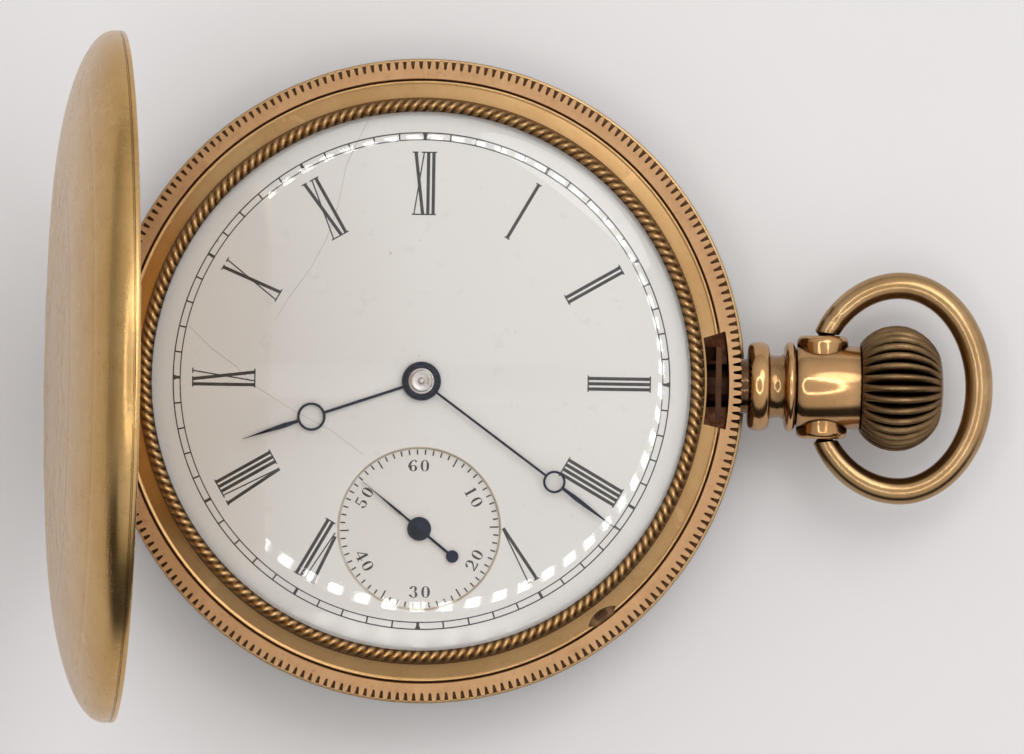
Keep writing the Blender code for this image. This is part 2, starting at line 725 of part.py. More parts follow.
def dust_cover():
    """The inner cover: a shallow dome with a lip that stands inside the band."""
    axis = hinge_axis("dust_hinge", DUST_HINGE_X, DUST_HINGE_Z)
    depth = BAND_BOTTOM - DUST_INSIDE + DUST_WALL
    outside = dome(DUST_RADIUS, DUST_FLAT, depth, 0, DOME_CROWN, 4)
    inner = DUST_RADIUS - DUST_WALL
    inside = dome(inner, DUST_FLAT, depth - DUST_WALL, 0, DOME_CROWN, 4)
    lip = [(DUST_RADIUS, -DUST_LIP), (inner, -DUST_LIP)]
    profile = [(r, BAND_BOTTOM - h) for r, h in outside + lip + inside[::-1]]
    shell = turned("dust_cover", profile[::-1])
    half = DUST_KNUCKLE_LENGTH / 2
    leaf = box(
        "dust_leaf",
        (DUST_HINGE_X, -half, DUST_HINGE_Z - DUST_KNUCKLE / 2),
        (-DUST_RADIUS + DUST_WALL / 2, half, DUST_HINGE_Z + DUST_KNUCKLE / 4),
    )
    swing_cover(shell, axis, DUST_KNUCKLE, DUST_KNUCKLE_LENGTH, leaf)
    hinge_pin("dust_hinge_pin", DUST_KNUCKLE_LENGTH, DUST_HINGE_X, DUST_HINGE_Z)
    return finish(shell, "gold")


def bezel():
    """The ring that holds the crystal: a rope bead, a hollow slope and an undercut groove."""
    rope = DIAL_WINDOW + ROPE_WIDTH / 2
    outer = [(rope + x, ROPE_Z + y * ROPE_HEIGHT / (ROPE_WIDTH / 2))
             for x, y in arc(0, 0, ROPE_WIDTH / 2, 90, 0, 3)]
    inner = [(rope + x, ROPE_Z + y * ROPE_HEIGHT / (ROPE_WIDTH / 2))
             for x, y in arc(0, 0, ROPE_WIDTH / 2, 180, 90, 3)]
    foot = BAND_TOP - SEAT_GAP
    start = DIAL_WINDOW + ROPE_WIDTH
    fall = ROPE_Z - 2 * SEAT_GAP - foot
    slope = [(start + BEZEL_SLOPE * t, foot + fall * (1 - t) ** 2) for t in (0.15, 0.5)]
    under = PLATE_WALL + 3 * SEAT_GAP
    lip = DIAL_TOP + 2 * SEAT_GAP
    groove = DIAL_WINDOW + CRYSTAL_GROOVE
    profile = outer + slope + [
        (BEZEL_RADIUS, foot),
        (BEZEL_RADIUS, BEZEL_SEAT + SEAT_GAP),
        (under, BEZEL_SEAT + SEAT_GAP),
        (under, lip),
        (DIAL_WINDOW, lip),
        (DIAL_WINDOW, CRYSTAL_Z - PIVOT_GAP),
        (groove, CRYSTAL_Z - PIVOT_GAP),
        (groove, CRYSTAL_Z + CRYSTAL_EDGE + PIVOT_GAP),
        (DIAL_WINDOW, CRYSTAL_Z + CRYSTAL_EDGE + PIVOT_GAP),
    ] + inner[:-1]
    ring = turned("bezel", profile)
    cut(ring, catch_recess("bezel_recess"), lever_slot())
    return finish(ring, "gold")


def crystal():
    edge = DIAL_WINDOW + CRYSTAL_GROOVE - SEAT_GAP
    top = CRYSTAL_Z + CRYSTAL_EDGE
    outside = dome(DIAL_WINDOW - SEAT_GAP, 0, CRYSTAL_RISE, 0, DOME_CROWN, 5)
    inner = DIAL_WINDOW - CRYSTAL_THICK
    inside = dome(inner, 0, CRYSTAL_RISE + CRYSTAL_EDGE - CRYSTAL_THICK, 0, DOME_CROWN, 4)
    profile = [(r, top + h) for r, h in outside]
    profile += [(edge, top), (edge, CRYSTAL_Z)]
    profile += [(r, CRYSTAL_Z + h) for r, h in inside[::-1]]
    return finish(turned("crystal", profile), "glass")


def lens(name, x, across, along, bottom, top):
    """A lens-shaped prism, pointed at both ends, centred x out from the middle."""
    radius = (across**2 + along**2) / (2 * across)
    swing = math.degrees(math.asin(along / radius))
    right = arc(x + across - radius, 0, radius, -swing, swing, 7)
    left = arc(x - across + radius, 0, radius, 180 - swing, 180 + swing, 7)
    return sheet(name, [right + left[1:-1]], bottom, top)


def lever_slot():
    """The nail slot in the bezel through which the setting lever is drawn out."""
    slot = lens("lever_slot", LEVER_OUT, LEVER_SLOT, LEVER_HALF, BEZEL_SEAT - COVER_RIM,
                BAND_TOP + COVER_RIM)
    slot.rotation_euler.z = LEVER_ANGLE
    return slot


def lever_channel():
    """The channel in the band that the setting lever runs in."""
    room = box(
        "lever_channel",
        (PLATE_WALL - PLATE_REST, -LEVER_HALF, PILLAR_TOP + SEAT_GAP),
        (LEVER_OUT + LEVER_SLOT + RUN_GAP, LEVER_HALF, BAND_TOP + COVER_RIM),
    )
    room.rotation_euler.z = LEVER_ANGLE
    return room


def setting_lever():
    """A flat blade over the pillar plate with an upturned end in the bezel's slot."""
    tip = LEVER_OUT - LEVER_SLOT + STRIP + 2 * RUN_GAP
    low = PILLAR_TOP + 2 * SEAT_GAP
    blade = box(
        "setting_lever",
        (PLATE_LEDGE - LEVER_TAIL, -LEVER_HALF / 2, low),
        (tip, LEVER_HALF / 2, low + STRIP),
    )
    nail = box(
        "lever_nail",
        (tip - STRIP, -LEVER_NAIL, low + SEAT_GAP),
        (tip + PIVOT_GAP, LEVER_NAIL, BAND_TOP),
    )
    join(blade, nail)
    for obj in (blade, nail):
        obj.rotation_euler.z = LEVER_ANGLE
    return finish(blade, "blued")


def strip_arc(start, end, count):
    """The outline of a spring strip bent along the band's inner wall, angles in degrees."""
    half = STRIP / 2
    outer = arc(0, 0, STRIP_RADIUS + half, start, end, count)
    return outer + arc(0, 0, STRIP_RADIUS - half, end, start, count)


def lock_spring():
    """The spring that holds the front cover shut: a strip, a foot, a post and a nose."""
    strip = sheet("lock_spring", [strip_arc(LOCK_START, LOCK_END, 12)], STRIP_LOW, STRIP_HIGH)
    side = SLEEVE + 2 * RUN_GAP
    post = RECESS_OUT - CATCH_INSET
    foot = box(
        "lock_foot",
        (STRIP_RADIUS - STRIP, side, STRIP_LOW + SEAT_GAP),
        (post, side + CATCH_WIDTH, STRIP_HIGH - SEAT_GAP),
    )
    upright = box(
        "lock_post",
        (post - CATCH_THICK, side + SEAT_GAP, STRIP_LOW + STRIP / 2),
        (post - SEAT_GAP, side + CATCH_WIDTH - SEAT_GAP, BAND_TOP + COVER_LEDGE),
    )
    nose = box(
        "lock_nose",
        (post - CATCH_THICK - SEAT_GAP, -CATCH_REACH, BAND_TOP + SEAT_GAP),
        (post, side + CATCH_WIDTH, BAND_TOP + COVER_LEDGE + SEAT_GAP),
    )
    return finish(join(strip, foot, upright, nose), "steel")


def lift_spring():
    """The spring beside the hinge that throws the front cover open."""
    strip = sheet("lift_spring", [strip_arc(LIFT_START, LIFT_END, 14)], STRIP_LOW, STRIP_HIGH)
    return finish(strip, "steel")


# Pendant, bow, crown and the pieces on the winding stem


def bead(inner, outer, low, high, count):
    """A half-round bead on a turned profile, from its far side to its near side."""
    middle = (low + high) / 2
    half = (high - low) / 2
    return [(inner + (outer - inner) * x, middle + half * y)
            for x, y in arc(0, 0, 1, 90, -90, count)]


def pendant():
    """The neck of the case with its two ears, drawn along X and bored for the sleeve."""
    bore = SLEEVE + RUN_GAP
    profile = [(TUBE, TUBE_END), (TUBE, COLLAR_END)]
    profile += bead(NECK, COLLAR, NECK_END, COLLAR_END - SEAT_GAP, 5)
    profile += bead(NECK, BASE_RING, BASE_START, BASE_END, 5)
    profile += [
        (SPIGOT, BASE_START),
        (SPIGOT, RECESS_OUT + SEAT_GAP),
        (bore, RECESS_OUT + SEAT_GAP),
        (bore, TUBE_END),
    ]
    neck = along_x(turned("pendant", profile, 20))
    reach = TUBE + EAR_REACH
    root = bore + 3 * RUN_GAP
    ear = [(0, reach), (EAR * 0.6, reach - EAR_REACH * 0.15), (EAR, reach - EAR_REACH * 0.8),
           (EAR, root), (0, root)]
    low_ear = [(r, -h) for r, h in ear[::-1]]
    for profile in (ear, low_ear):
        join(neck, along_y(turned("ear", profile, 12), EAR_X, 0, PENDANT_Z))
    for side in (-1, 1):
        socket = rod("bow_socket", BOW_PIN + RUN_GAP, -EAR_REACH, EAR_REACH, SMALL_STEPS)
        cut(neck, along_y(socket, BOW_PIVOT_X, side * (reach - EAR_REACH / 3), PENDANT_Z))
    return finish(neck, "worn_gold")


def bow():
    """The ring that a chain hangs from. Its two ends turn in and narrow to pins in the ears."""
    pin = TUBE + EAR_REACH / 3
    narrow = BOW_PIN / BOW_WIRE
    points = [(0, pin, narrow), (SEAT_GAP, TUBE + EAR_REACH, narrow)]
    first, last = math.radians(BOW_ENDS), math.radians(-BOW_ENDS)
    for i in range(BOW_POINTS):
        angle = first + (last - first) * i / (BOW_POINTS - 1)
        swell = 1 - 0.2 * (abs(angle) / first) ** 12
        points.append((BOW_CENTRE + BOW_LENGTH * math.cos(angle),
                       BOW_WIDTH * math.sin(angle), swell))
    points += [(x, -y, size) for x, y, size in points[1::-1]]
    curve = bpy.data.curves.new("bow", "CURVE")
    curve.dimensions = "3D"
    curve.bevel_depth = BOW_WIRE
    curve.bevel_resolution = 2
    curve.use_fill_caps = True
    spline = curve.splines.new("POLY")
    spline.points.add(len(points) - 1)
    for point, (x, y, size) in zip(spline.points, points):
        point.co = (x, y, 0, 1)
        point.radius = size
    ring = bpy.data.objects.new("bow", curve)
    WATCH.objects.link(ring)
    return finish(place(as_mesh(ring), BOW_PIVOT_X, 0, PENDANT_Z), "gold")


def crown():
    """An onion crown: a turned body kept only where a fluted bar of its length covers it."""
    hollow = TUBE + CROWN_ROOM
    seat = CROWN_SKIRT + TUBE_ROOM
    end = CROWN_LENGTH
    profile = [
        (0, end),
        (CROWN * 0.66, end * 0.925),
        (CROWN * 0.88, end * 0.79),
        (CROWN, end * 0.55),
        (CROWN * 0.98, end * 0.27),
        (CROWN * 0.86, end * 0.06),
        (CROWN * 0.8, 0),
        (hollow, 0),
        (hollow, seat),
        (STEM + PIVOT_GAP, seat),
        (STEM + PIVOT_GAP, STEM_SOCKET),
        (0, STEM_SOCKET),
    ]
    knob = along_x(turned("crown", profile, 32), CROWN_X)
    flutes = []
    for i in range(2 * CROWN_FLUTES):
        radius = CROWN - CROWN_FLUTE_DEPTH * (i % 2) + SEAT_GAP
        flutes.append(polar(radius, math.pi * i / CROWN_FLUTES))
    bar = sheet("crown_flutes", [flutes], -CROWN_SKIRT, CROWN_LENGTH + CROWN_SKIRT)
    combine(knob, [along_x(bar, CROWN_X)], "INTERSECT")
    return finish(knob, "worn_gold")


def winding_stem():
    start = WINDING_X - STEM
    stem = rod("winding_stem", STEM, start, CROWN_X + STEM_SOCKET - SEAT_GAP, SMALL_STEPS)
    finish(along_x(stem), "steel")
    outline = gear_outline(WINDING_LEAVES, WINDING_RADIUS / (WINDING_LEAVES / 2 + 1), 0, 0.1)
    bore = circle(STEM + PIVOT_GAP, SMALL_STEPS)
    pinion = sheet("winding_pinion", [outline, bore], WINDING_X, WINDING_X + WINDING_LENGTH)
    finish(along_x(pinion), "steel")


def push_sleeve():
    """The sleeve between the crown and the lock spring, which the crown presses inwards."""
    inner = STRIP_RADIUS + STRIP / 2 + RUN_GAP
    outer = CROWN_X + CROWN_SKIRT + TUBE_ROOM - SEAT_GAP
    sleeve = tube("push_sleeve", SLEEVE, STEM + RUN_GAP, inner, outer)
    return finish(along_x(sleeve), "steel")


# Dial and hands


def dial():
    """The enamel disc, pierced for the hands and for the sunk seconds dial."""
    plate = sheet(
        "dial",
        [
            circle(DIAL_RADIUS, TURN_STEPS),
            circle(DIAL_HOLE, ROUND_STEPS),
            circle(SECONDS_RADIUS + SEAT_GAP, 32, *FOURTH),
        ],
        DIAL_BOTTOM,
        DIAL_TOP,
    )
    finish(plate, "enamel")
    top = DIAL_TOP - SECONDS_SINK
    back = DIAL_BOTTOM - SEAT_GAP
    low = back - SECONDS_SINK
    hole = ARBOR + RUN_GAP
    flange = SECONDS_RADIUS + DIAL_THICK
    profile = [(SECONDS_RADIUS, top), (SECONDS_RADIUS, back), (flange, back), (flange, low),
               (hole, low), (hole, top)]
    finish(place(turned("seconds_dial", profile, 32), *FOURTH), "enamel")


def hand_outline(lobes, stem, length):
    """A hand along +X: round lobes joined by a stem of half-width stem, ending in a point."""
    half = []
    for i, (x, radius) in enumerate(lobes):
        neck = math.degrees(math.asin(stem / radius))
        half += arc(x, 0, radius, 180 - neck * (i > 0), neck, 7)
    half += [(length - 4 * stem, stem * 0.8), (length, stem / 6)]
    return half + [(x, -y) for x, y in half[:0:-1]]


def hand(name, outlines, low, clock_angle, at=(0.0, 0.0)):
    piece = place(sheet(name, outlines, low, low + HAND_THICK), *at)
    piece.rotation_euler.z = math.pi / 2 - clock_angle
    return finish(piece, "blued")


def hands():
    for name, ring_at, ring, length, hub, bore, low, angle in (
        ("hour_hand", HOUR_RING_AT, HOUR_RING, HOUR_HAND, HOUR_HUB, HOUR_PIPE, HOUR_Z, HOUR_ANGLE),
        ("minute_hand", MINUTE_RING_AT, MINUTE_RING, MINUTE_HAND, MINUTE_HUB, CANNON_PIPE,
         MINUTE_Z, MINUTE_ANGLE),
    ):
        rim = hand_outline([(0, hub), (ring_at, ring)], HAND_STEM, length)
        eye = circle(ring * 0.6, SMALL_STEPS, ring_at + ring * 0.1)
        hand(name, [rim, circle(bore + PIVOT_GAP, ROUND_STEPS), eye], low, angle)
    rim = hand_outline([(-SECONDS_TAIL, SECONDS_BALL), (0, SECONDS_HUB)], HAND_STEM / 2,
                       SECONDS_HAND)
    bore = circle(ARBOR * PIVOT_SHARE + PIVOT_GAP, SMALL_STEPS)
    hand("seconds_hand", [rim, bore], SECONDS_Z, SECONDS_ANGLE, FOURTH)


# Movement: gears, plates and the pieces between them


def gear_outline(teeth, module, turn, flat=0.0):
    """A toothed rim whose first tooth points along turn.

    A wheel's teeth are pointed. A pinion's leaves have flat tips, flat of a pitch to each side.
    """
    pitch = 2 * math.pi / teeth
    tip = module * (teeth / 2 + TOOTH_TIP)
    points = []
    for i in range(teeth):
        angle = turn + i * pitch
        if flat:
            root = module * (teeth / 2 - LEAF_ROOT)
            points.append(polar(root, angle - 0.3 * pitch))
            points.append(polar(tip, angle - flat * pitch))
            points.append(polar(tip, angle + flat * pitch))
            points.append(polar(root, angle + 0.3 * pitch))
        else:
            points.append(polar(tip, angle))
            points.append(polar(module * (teeth / 2 - TOOTH_ROOT), angle + 0.5 * pitch))
    return points


def windows(count, inner, outer, spoke):
    """The openings between a wheel's spokes, each a ring sector."""
    found = []
    for i in range(count):
        first, last = 360 * i / count, 360 * (i + 1) / count
        near, far = math.degrees(spoke / inner), math.degrees(spoke / outer)
        found.append(arc(0, 0, outer, first + far, last - far, 6)
                     + arc(0, 0, inner, last - near, first + near, 3))
    return found


def toward(start, end):
    return math.atan2(end[1] - start[1], end[0] - start[0])


def apart(start, end):
    return math.hypot(end[0] - start[0], end[1] - start[1])


def gap_to(start, end, teeth):
    """The turn that points a pinion's gap at the wheel it meets."""
    return toward(start, end) + math.pi / teeth


def arbor(name, low, high, low_shoulder, high_shoulder, radius=ARBOR):
    """A wheel's axle, thinned to a pivot at each end."""
    pivot = radius * PIVOT_SHARE
    return turned(
        name,
        [
            (0, high),
            (pivot, high),
            (pivot, high_shoulder),
            (radius, high_shoulder),
            (radius, low_shoulder),
            (pivot, low_shoulder),
            (pivot, low),
            (0, low),
        ],
        SMALL_STEPS,
    )


def train_wheel(name, at, wheel, pinion, low, high, post=None):
    """A spoked wheel, its pinion and its arbor as one piece between the plates.

    wheel and pinion are (outline, bottom), and the wheel also carries its root radius. post is
    the radius and the top of an arbor that passes through the pillar plate to a hand.
    """
    outline, bottom, root = wheel
    openings = windows(4, 0.24 * root, 0.84 * root, 0.05 * root)
    piece = sheet(name, [outline] + openings, bottom, bottom + WHEEL_THICK)
    leaves, base = pinion
    parts = [
        sheet(name + "_pinion", [leaves], base, base + PINION_LENGTH),
        arbor(name + "_arbor", low, high, TOP_UPPER + SEAT_GAP, PILLAR_BOTTOM - SEAT_GAP),
    ]
    if post:
        radius, top = post
        parts.append(rod(name + "_post", radius, PILLAR_BOTTOM - 3 * SEAT_GAP, top))
    for obj in (piece, *parts):
        place(obj, *at)
    return finish(join(piece, *parts), "brass")


def going_train():
    low = TOP_LOWER + RUN_GAP
    high = PILLAR_TOP - RUN_GAP
    lower = TOP_UPPER + 2 * RUN_GAP
    upper = PILLAR_BOTTOM - RUN_GAP - PINION_LENGTH
    centre_top = MINUTE_Z + HAND_THICK + SEAT_GAP
    train_wheel(
        "centre_wheel",
        CENTRE,
        (gear_outline(CENTRE_TEETH, CENTRE_MODULE, toward(CENTRE, THIRD)),
         PILLAR_BOTTOM - RUN_GAP - SEAT_GAP - WHEEL_THICK,
         CENTRE_MODULE * (CENTRE_TEETH / 2 - TOOTH_ROOT)),
        (gear_outline(CENTRE_LEAVES, BARREL_MODULE, gap_to(CENTRE, BARREL, CENTRE_LEAVES), 0.08),
         lower),
        low,
        centre_top,
        (CENTRE_POST, centre_top),
    )
    train_wheel(
        "third_wheel",
        THIRD,
        (gear_outline(THIRD_TEETH, THIRD_MODULE, toward(THIRD, FOURTH)),
         lower + RUN_GAP, THIRD_MODULE * (THIRD_TEETH / 2 - TOOTH_ROOT)),
        (gear_outline(THIRD_LEAVES, CENTRE_MODULE, gap_to(THIRD, CENTRE, THIRD_LEAVES), 0.08),
         upper),
        low,
        high,
    )
    train_wheel(
        "fourth_wheel",
        FOURTH,
        (gear_outline(FOURTH_TEETH, FOURTH_MODULE, toward(FOURTH, ESCAPE)),
         ESCAPE_PINION + RUN_GAP, FOURTH_MODULE * (FOURTH_TEETH / 2 - TOOTH_ROOT)),
        (gear_outline(FOURTH_LEAVES, THIRD_MODULE, gap_to(FOURTH, THIRD, FOURTH_LEAVES), 0.08),
         lower),
        low,
        SECONDS_Z + HAND_THICK + SEAT_GAP,
        (ARBOR, SECONDS_Z - SEAT_GAP),
    )
    teeth = []
    pitch = 360 / ESCAPE_TEETH
    for i in range(ESCAPE_TEETH):
        for radius, share in ((0.76, 0.0), (0.8, 0.45), (1.0, 0.72), (0.97, 0.9)):
            teeth.append(polar(ESCAPE_RADIUS * radius, math.radians(pitch * (i + share))))
    train_wheel(
        "escape_wheel",
        ESCAPE,
        (teeth, FORK_LOW, ESCAPE_RADIUS * 0.76),
        (gear_outline(ESCAPE_LEAVES, FOURTH_MODULE, gap_to(ESCAPE, FOURTH, ESCAPE_LEAVES), 0.08),
         ESCAPE_PINION),
        low,
        high,
    )


def barrel():
    """The mainspring barrel: a toothed cup, its cover, the arbor and the spring inside."""
    low = TOP_UPPER + 2 * RUN_GAP + SEAT_GAP
    high = PILLAR_BOTTOM - RUN_GAP - WHEEL_THICK - 3 * SEAT_GAP
    floor = low + BARREL_WALL
    drum = BARREL_MODULE * (BARREL_TEETH / 2 - TOOTH_ROOT) - SEAT_GAP
    inner = drum - BARREL_WALL
    hole = BARREL_ARBOR + PIVOT_GAP
    cup = turned(
        "barrel",
        [(drum, high), (drum, low), (hole, low), (hole, floor), (inner, floor), (inner, high)],
        TURN_STEPS,
    )
    rim = gear_outline(BARREL_TEETH, BARREL_MODULE, toward(BARREL, CENTRE))
    teeth = sheet("barrel_teeth", [rim, circle(drum - SEAT_GAP, TURN_STEPS)],
                  low + PIVOT_GAP, low + PIVOT_GAP + PINION_LENGTH)
    lid_low = high - BARREL_WALL
    lid = tube("barrel_cover", inner - PIVOT_GAP, ARBOR_TOP + PIVOT_GAP, lid_low,
               high - PIVOT_GAP, 32)
    core_high = lid_low - SEAT_GAP
    axle = turned(
        "barrel_arbor",
        [
            (0, PILLAR_TOP - RUN_GAP),
            (ARBOR_TOP, PILLAR_TOP - RUN_GAP),
            (ARBOR_TOP, core_high),
            (ARBOR_CORE, core_high),
            (ARBOR_CORE, floor + SEAT_GAP),
            (BARREL_ARBOR, floor + SEAT_GAP),
            (BARREL_ARBOR, RATCHET_LOW),
            (SCREW + PIVOT_GAP, RATCHET_LOW),
            (SCREW + PIVOT_GAP, TOP_UPPER),
            (0, TOP_UPPER),
        ],
        ROUND_STEPS,
    )
    spring = mainspring(ARBOR_CORE + RUN_GAP, inner - RUN_GAP, floor + SEAT_GAP, core_high)
    for obj in (cup, teeth, lid, axle, spring):
        place(obj, *BARREL)
    finish(join(cup, teeth), "brass")
    finish(lid, "brass")
    finish(axle, "steel")


def spiral(inner, outer, pitch, per_turn):
    """Points out along a flat spiral of even pitch."""
    count = int(per_turn * (outer - inner) / pitch)
    return [polar(inner + pitch * i / per_turn, 2 * math.pi * i / per_turn) for i in range(count)]


def print_turn_gap(name, points, per_turn, thickness):
    """Prints the least gap between one turn of a spring and the next."""
    least = min(apart(points[i], points[i + per_turn]) for i in range(len(points) - per_turn))
    print(f"{name}: least gap between turns {(least - thickness) / MM:.2f} mm")


def mainspring(inner, outer, low, high):
    """The spring ribbon wound in the barrel, one unbroken strip."""
    half = RIBBON / 2
    points = spiral(inner + half, outer - half, RIBBON_PITCH, RIBBON_POINTS)
    print_turn_gap("mainspring", points, RIBBON_POINTS, RIBBON)
    edge = []
    for x, y in points:
        size = math.hypot(x, y)
        edge.append((x * (1 + half / size), y * (1 + half / size)))
    for x, y in points[::-1]:
        size = math.hypot(x, y)
        edge.append((x * (1 - half / size), y * (1 - half / size)))
    return finish(sheet("mainspring", [edge], low, high), "blued")


def screw(name, at, head, head_low, head_high, shank_high):
    """A slotted screw driven from the back, its shank pointing up."""
    piece = turned(
        name,
        [(0, shank_high), (SCREW, shank_high), (SCREW, head_high), (head, head_high),
         (head, head_low), (0, head_low)],
        SMALL_STEPS,
    )
    deep = (head_high - head_low) / 2
    slot = box(name + "_slot", (-2 * head, -SCREW / 3, head_low - deep),
               (2 * head, SCREW / 3, head_low + deep))
    for obj in (piece, slot):
        place(obj, *at)
    return finish(cut(piece, slot), "blued")


def winding_works():
    """Crown wheel, ratchet wheel, click and click spring on the back of the top plate."""
    big = sheet(
        "ratchet_wheel",
        [gear_outline(RATCHET_TEETH, RATCHET_MODULE, toward(BARREL, CROWN_WHEEL)),
         circle(BARREL_ARBOR + PIVOT_GAP, ROUND_STEPS)],
        RATCHET_LOW,
        RATCHET_HIGH,
    )
    finish(place(big, *BARREL), "steel")
    outline = gear_outline(
        CROWN_WHEEL_TEETH, RATCHET_MODULE, gap_to(CROWN_WHEEL, BARREL, CROWN_WHEEL_TEETH)
    )
    small = sheet("crown_wheel", [outline], RATCHET_LOW, RATCHET_HIGH)
    top = PENDANT_Z - WINDING_RADIUS - SEAT_GAP
    face = top - WINDING_RADIUS / 3
    hub = rod("crown_hub", CONTRATE - 2 * SEAT_GAP, RATCHET_LOW + SEAT_GAP, face, ROUND_STEPS)
    ring = gear_outline(CROWN_WHEEL_TEETH, CONTRATE / (CROWN_WHEEL_TEETH / 2 + TOOTH_TIP), 0.1)
    contrate = sheet("crown_contrate", [ring], face - SEAT_GAP, top)
    bore = rod("crown_bore", SCREW + RUN_GAP, RATCHET_LOW - SCREW, top + SCREW)
    for obj in (small, hub, contrate, bore):
        place(obj, *CROWN_WHEEL)
    finish(cut(join(small, hub, contrate), bore), "steel")
    head_low = RATCHET_LOW - SEAT_GAP - SCREW_HEAD_THICK
    screw("ratchet_screw", BARREL, SCREW_HEAD, head_low, RATCHET_LOW - SEAT_GAP,
          TOP_UPPER - RUN_GAP)
    screw("crown_wheel_screw", CROWN_WHEEL, SCREW_HEAD, head_low, RATCHET_LOW - SEAT_GAP,
          face - RUN_GAP)
    pawl = sheet("click", [hand_outline([(0, CLICK)], CLICK / 3, CLICK_NOSE)], RATCHET_LOW,
                 RATCHET_HIGH)
    pawl.rotation_euler.z = toward(CLICK_AT, BARREL)
    finish(place(pawl, *CLICK_AT), "steel")
    near, far = CLICK + 2 * RUN_GAP, CLICK + 2 * RUN_GAP + STRIP
    back = math.degrees(toward(BARREL, CLICK_AT))
    strip = arc(0, 0, far, back - 80, back + 80, 12) + arc(0, 0, near, back + 80, back - 80, 12)
    finish(place(sheet("click_spring", [strip], RATCHET_LOW, RATCHET_HIGH), *CLICK_AT), "steel")


def motion_works():
    """Cannon pinion, minute wheel and hour wheel, under the dial."""
    low = PILLAR_TOP + RUN_GAP
    step = (MOTION_SPACE - 2 * RUN_GAP) / 4
    out = toward(CENTRE, MINUTE_STUD)
    pinion = sheet(
        "cannon_pinion", [gear_outline(CANNON_LEAVES, MOTION_MODULE,
                                       out + math.pi / CANNON_LEAVES, 0.08)],
        low, low + 2 * step - SEAT_GAP)
    pipe = rod("cannon_pipe", CANNON_PIPE, low + step, MINUTE_Z + HAND_THICK + RUN_GAP,
               ROUND_STEPS)
    bore = rod("cannon_bore", CENTRE_POST + PIVOT_GAP, low - step, MINUTE_Z + CANNON_PIPE)
    finish(cut(join(pinion, pipe), bore), "steel")
    wheel = sheet("minute_wheel", [gear_outline(MINUTE_TEETH, MOTION_MODULE, out + math.pi)],
                  low, low + step - SEAT_GAP)
    leaves = sheet("minute_leaves", [gear_outline(MINUTE_LEAVES, MOTION_MODULE,
                                                  out + math.pi + math.pi / MINUTE_LEAVES, 0.08)],
                   low + step / 2, low + 3 * step)
    hole = rod("minute_hole", ARBOR + PIVOT_GAP, low - step, low + 4 * step)
    for obj in (wheel, leaves, hole):
        place(obj, *MINUTE_STUD)
    finish(cut(join(wheel, leaves), hole), "brass")
    disc = sheet("hour_wheel", [gear_outline(HOUR_TEETH, MOTION_MODULE, out)],
                 low + 2 * step, low + 3 * step - SEAT_GAP)
    sleeve = rod("hour_pipe", HOUR_PIPE, low + 2 * step + SEAT_GAP, HOUR_Z + HAND_THICK + SEAT_GAP,
                 ROUND_STEPS)
    clear = rod("hour_bore", CANNON_PIPE + PIVOT_GAP, low, HOUR_Z + HOUR_PIPE, ROUND_STEPS)
    finish(cut(join(disc, sleeve), clear), "brass")


def hole_at(name, at, radius, low, high):
    return place(rod(name, radius, low - SCREW, high + SCREW), *at)


def plate_outlines(radius, drilled):
    """A round plate's edge and the holes in it, each given as its place and radius."""
    holes = [circle(hole, ROUND_STEPS if hole > JEWEL else SMALL_STEPS, *at)
             for at, hole in drilled]
    return [circle(radius, TURN_STEPS)] + holes


def pillar_plate():
    """The main plate under the dial, slotted for the winding stem and drilled for the arbors."""
    pivot = ARBOR * PIVOT_SHARE + PIVOT_GAP
    drilled = [(CENTRE, CENTRE_POST + PIVOT_GAP), (FOURTH, ARBOR + PIVOT_GAP),
               (BARREL, ARBOR_TOP + PIVOT_GAP), (BALANCE, STAFF * PIVOT_SHARE + PIVOT_GAP)]
    drilled += [(at, pivot) for at in (THIRD, ESCAPE, FORK)]
    drilled += [(at, SCREW + PIVOT_GAP) for at in CASE_SCREWS]
    plate = sheet("pillar_plate", plate_outlines(PLATE_RADIUS, drilled), PILLAR_BOTTOM, PILLAR_TOP)
    half = SLEEVE + 2 * RUN_GAP
    slot = box("stem_slot", (WINDING_X - 3 * STEM, -half, PILLAR_BOTTOM - STEM),
               (PLATE_WALL, half, PILLAR_TOP + STEM))
    cut(plate, slot)
    stud = rod("minute_stud", ARBOR, PILLAR_TOP - SCREW, PILLAR_TOP + MOTION_SPACE - 2 * RUN_GAP)
    join(plate, place(stud, *MINUTE_STUD))
    finish(plate, "nickel")
    for i, at in enumerate(CASE_SCREWS):
        seat = PILLAR_BOTTOM - LEDGE_THICK - 2 * SEAT_GAP
        screw(f"case_screw_{i + 1}", at, CASE_SCREW_HEAD, seat - SCREW_HEAD_THICK, seat,
              PILLAR_TOP - RUN_GAP)


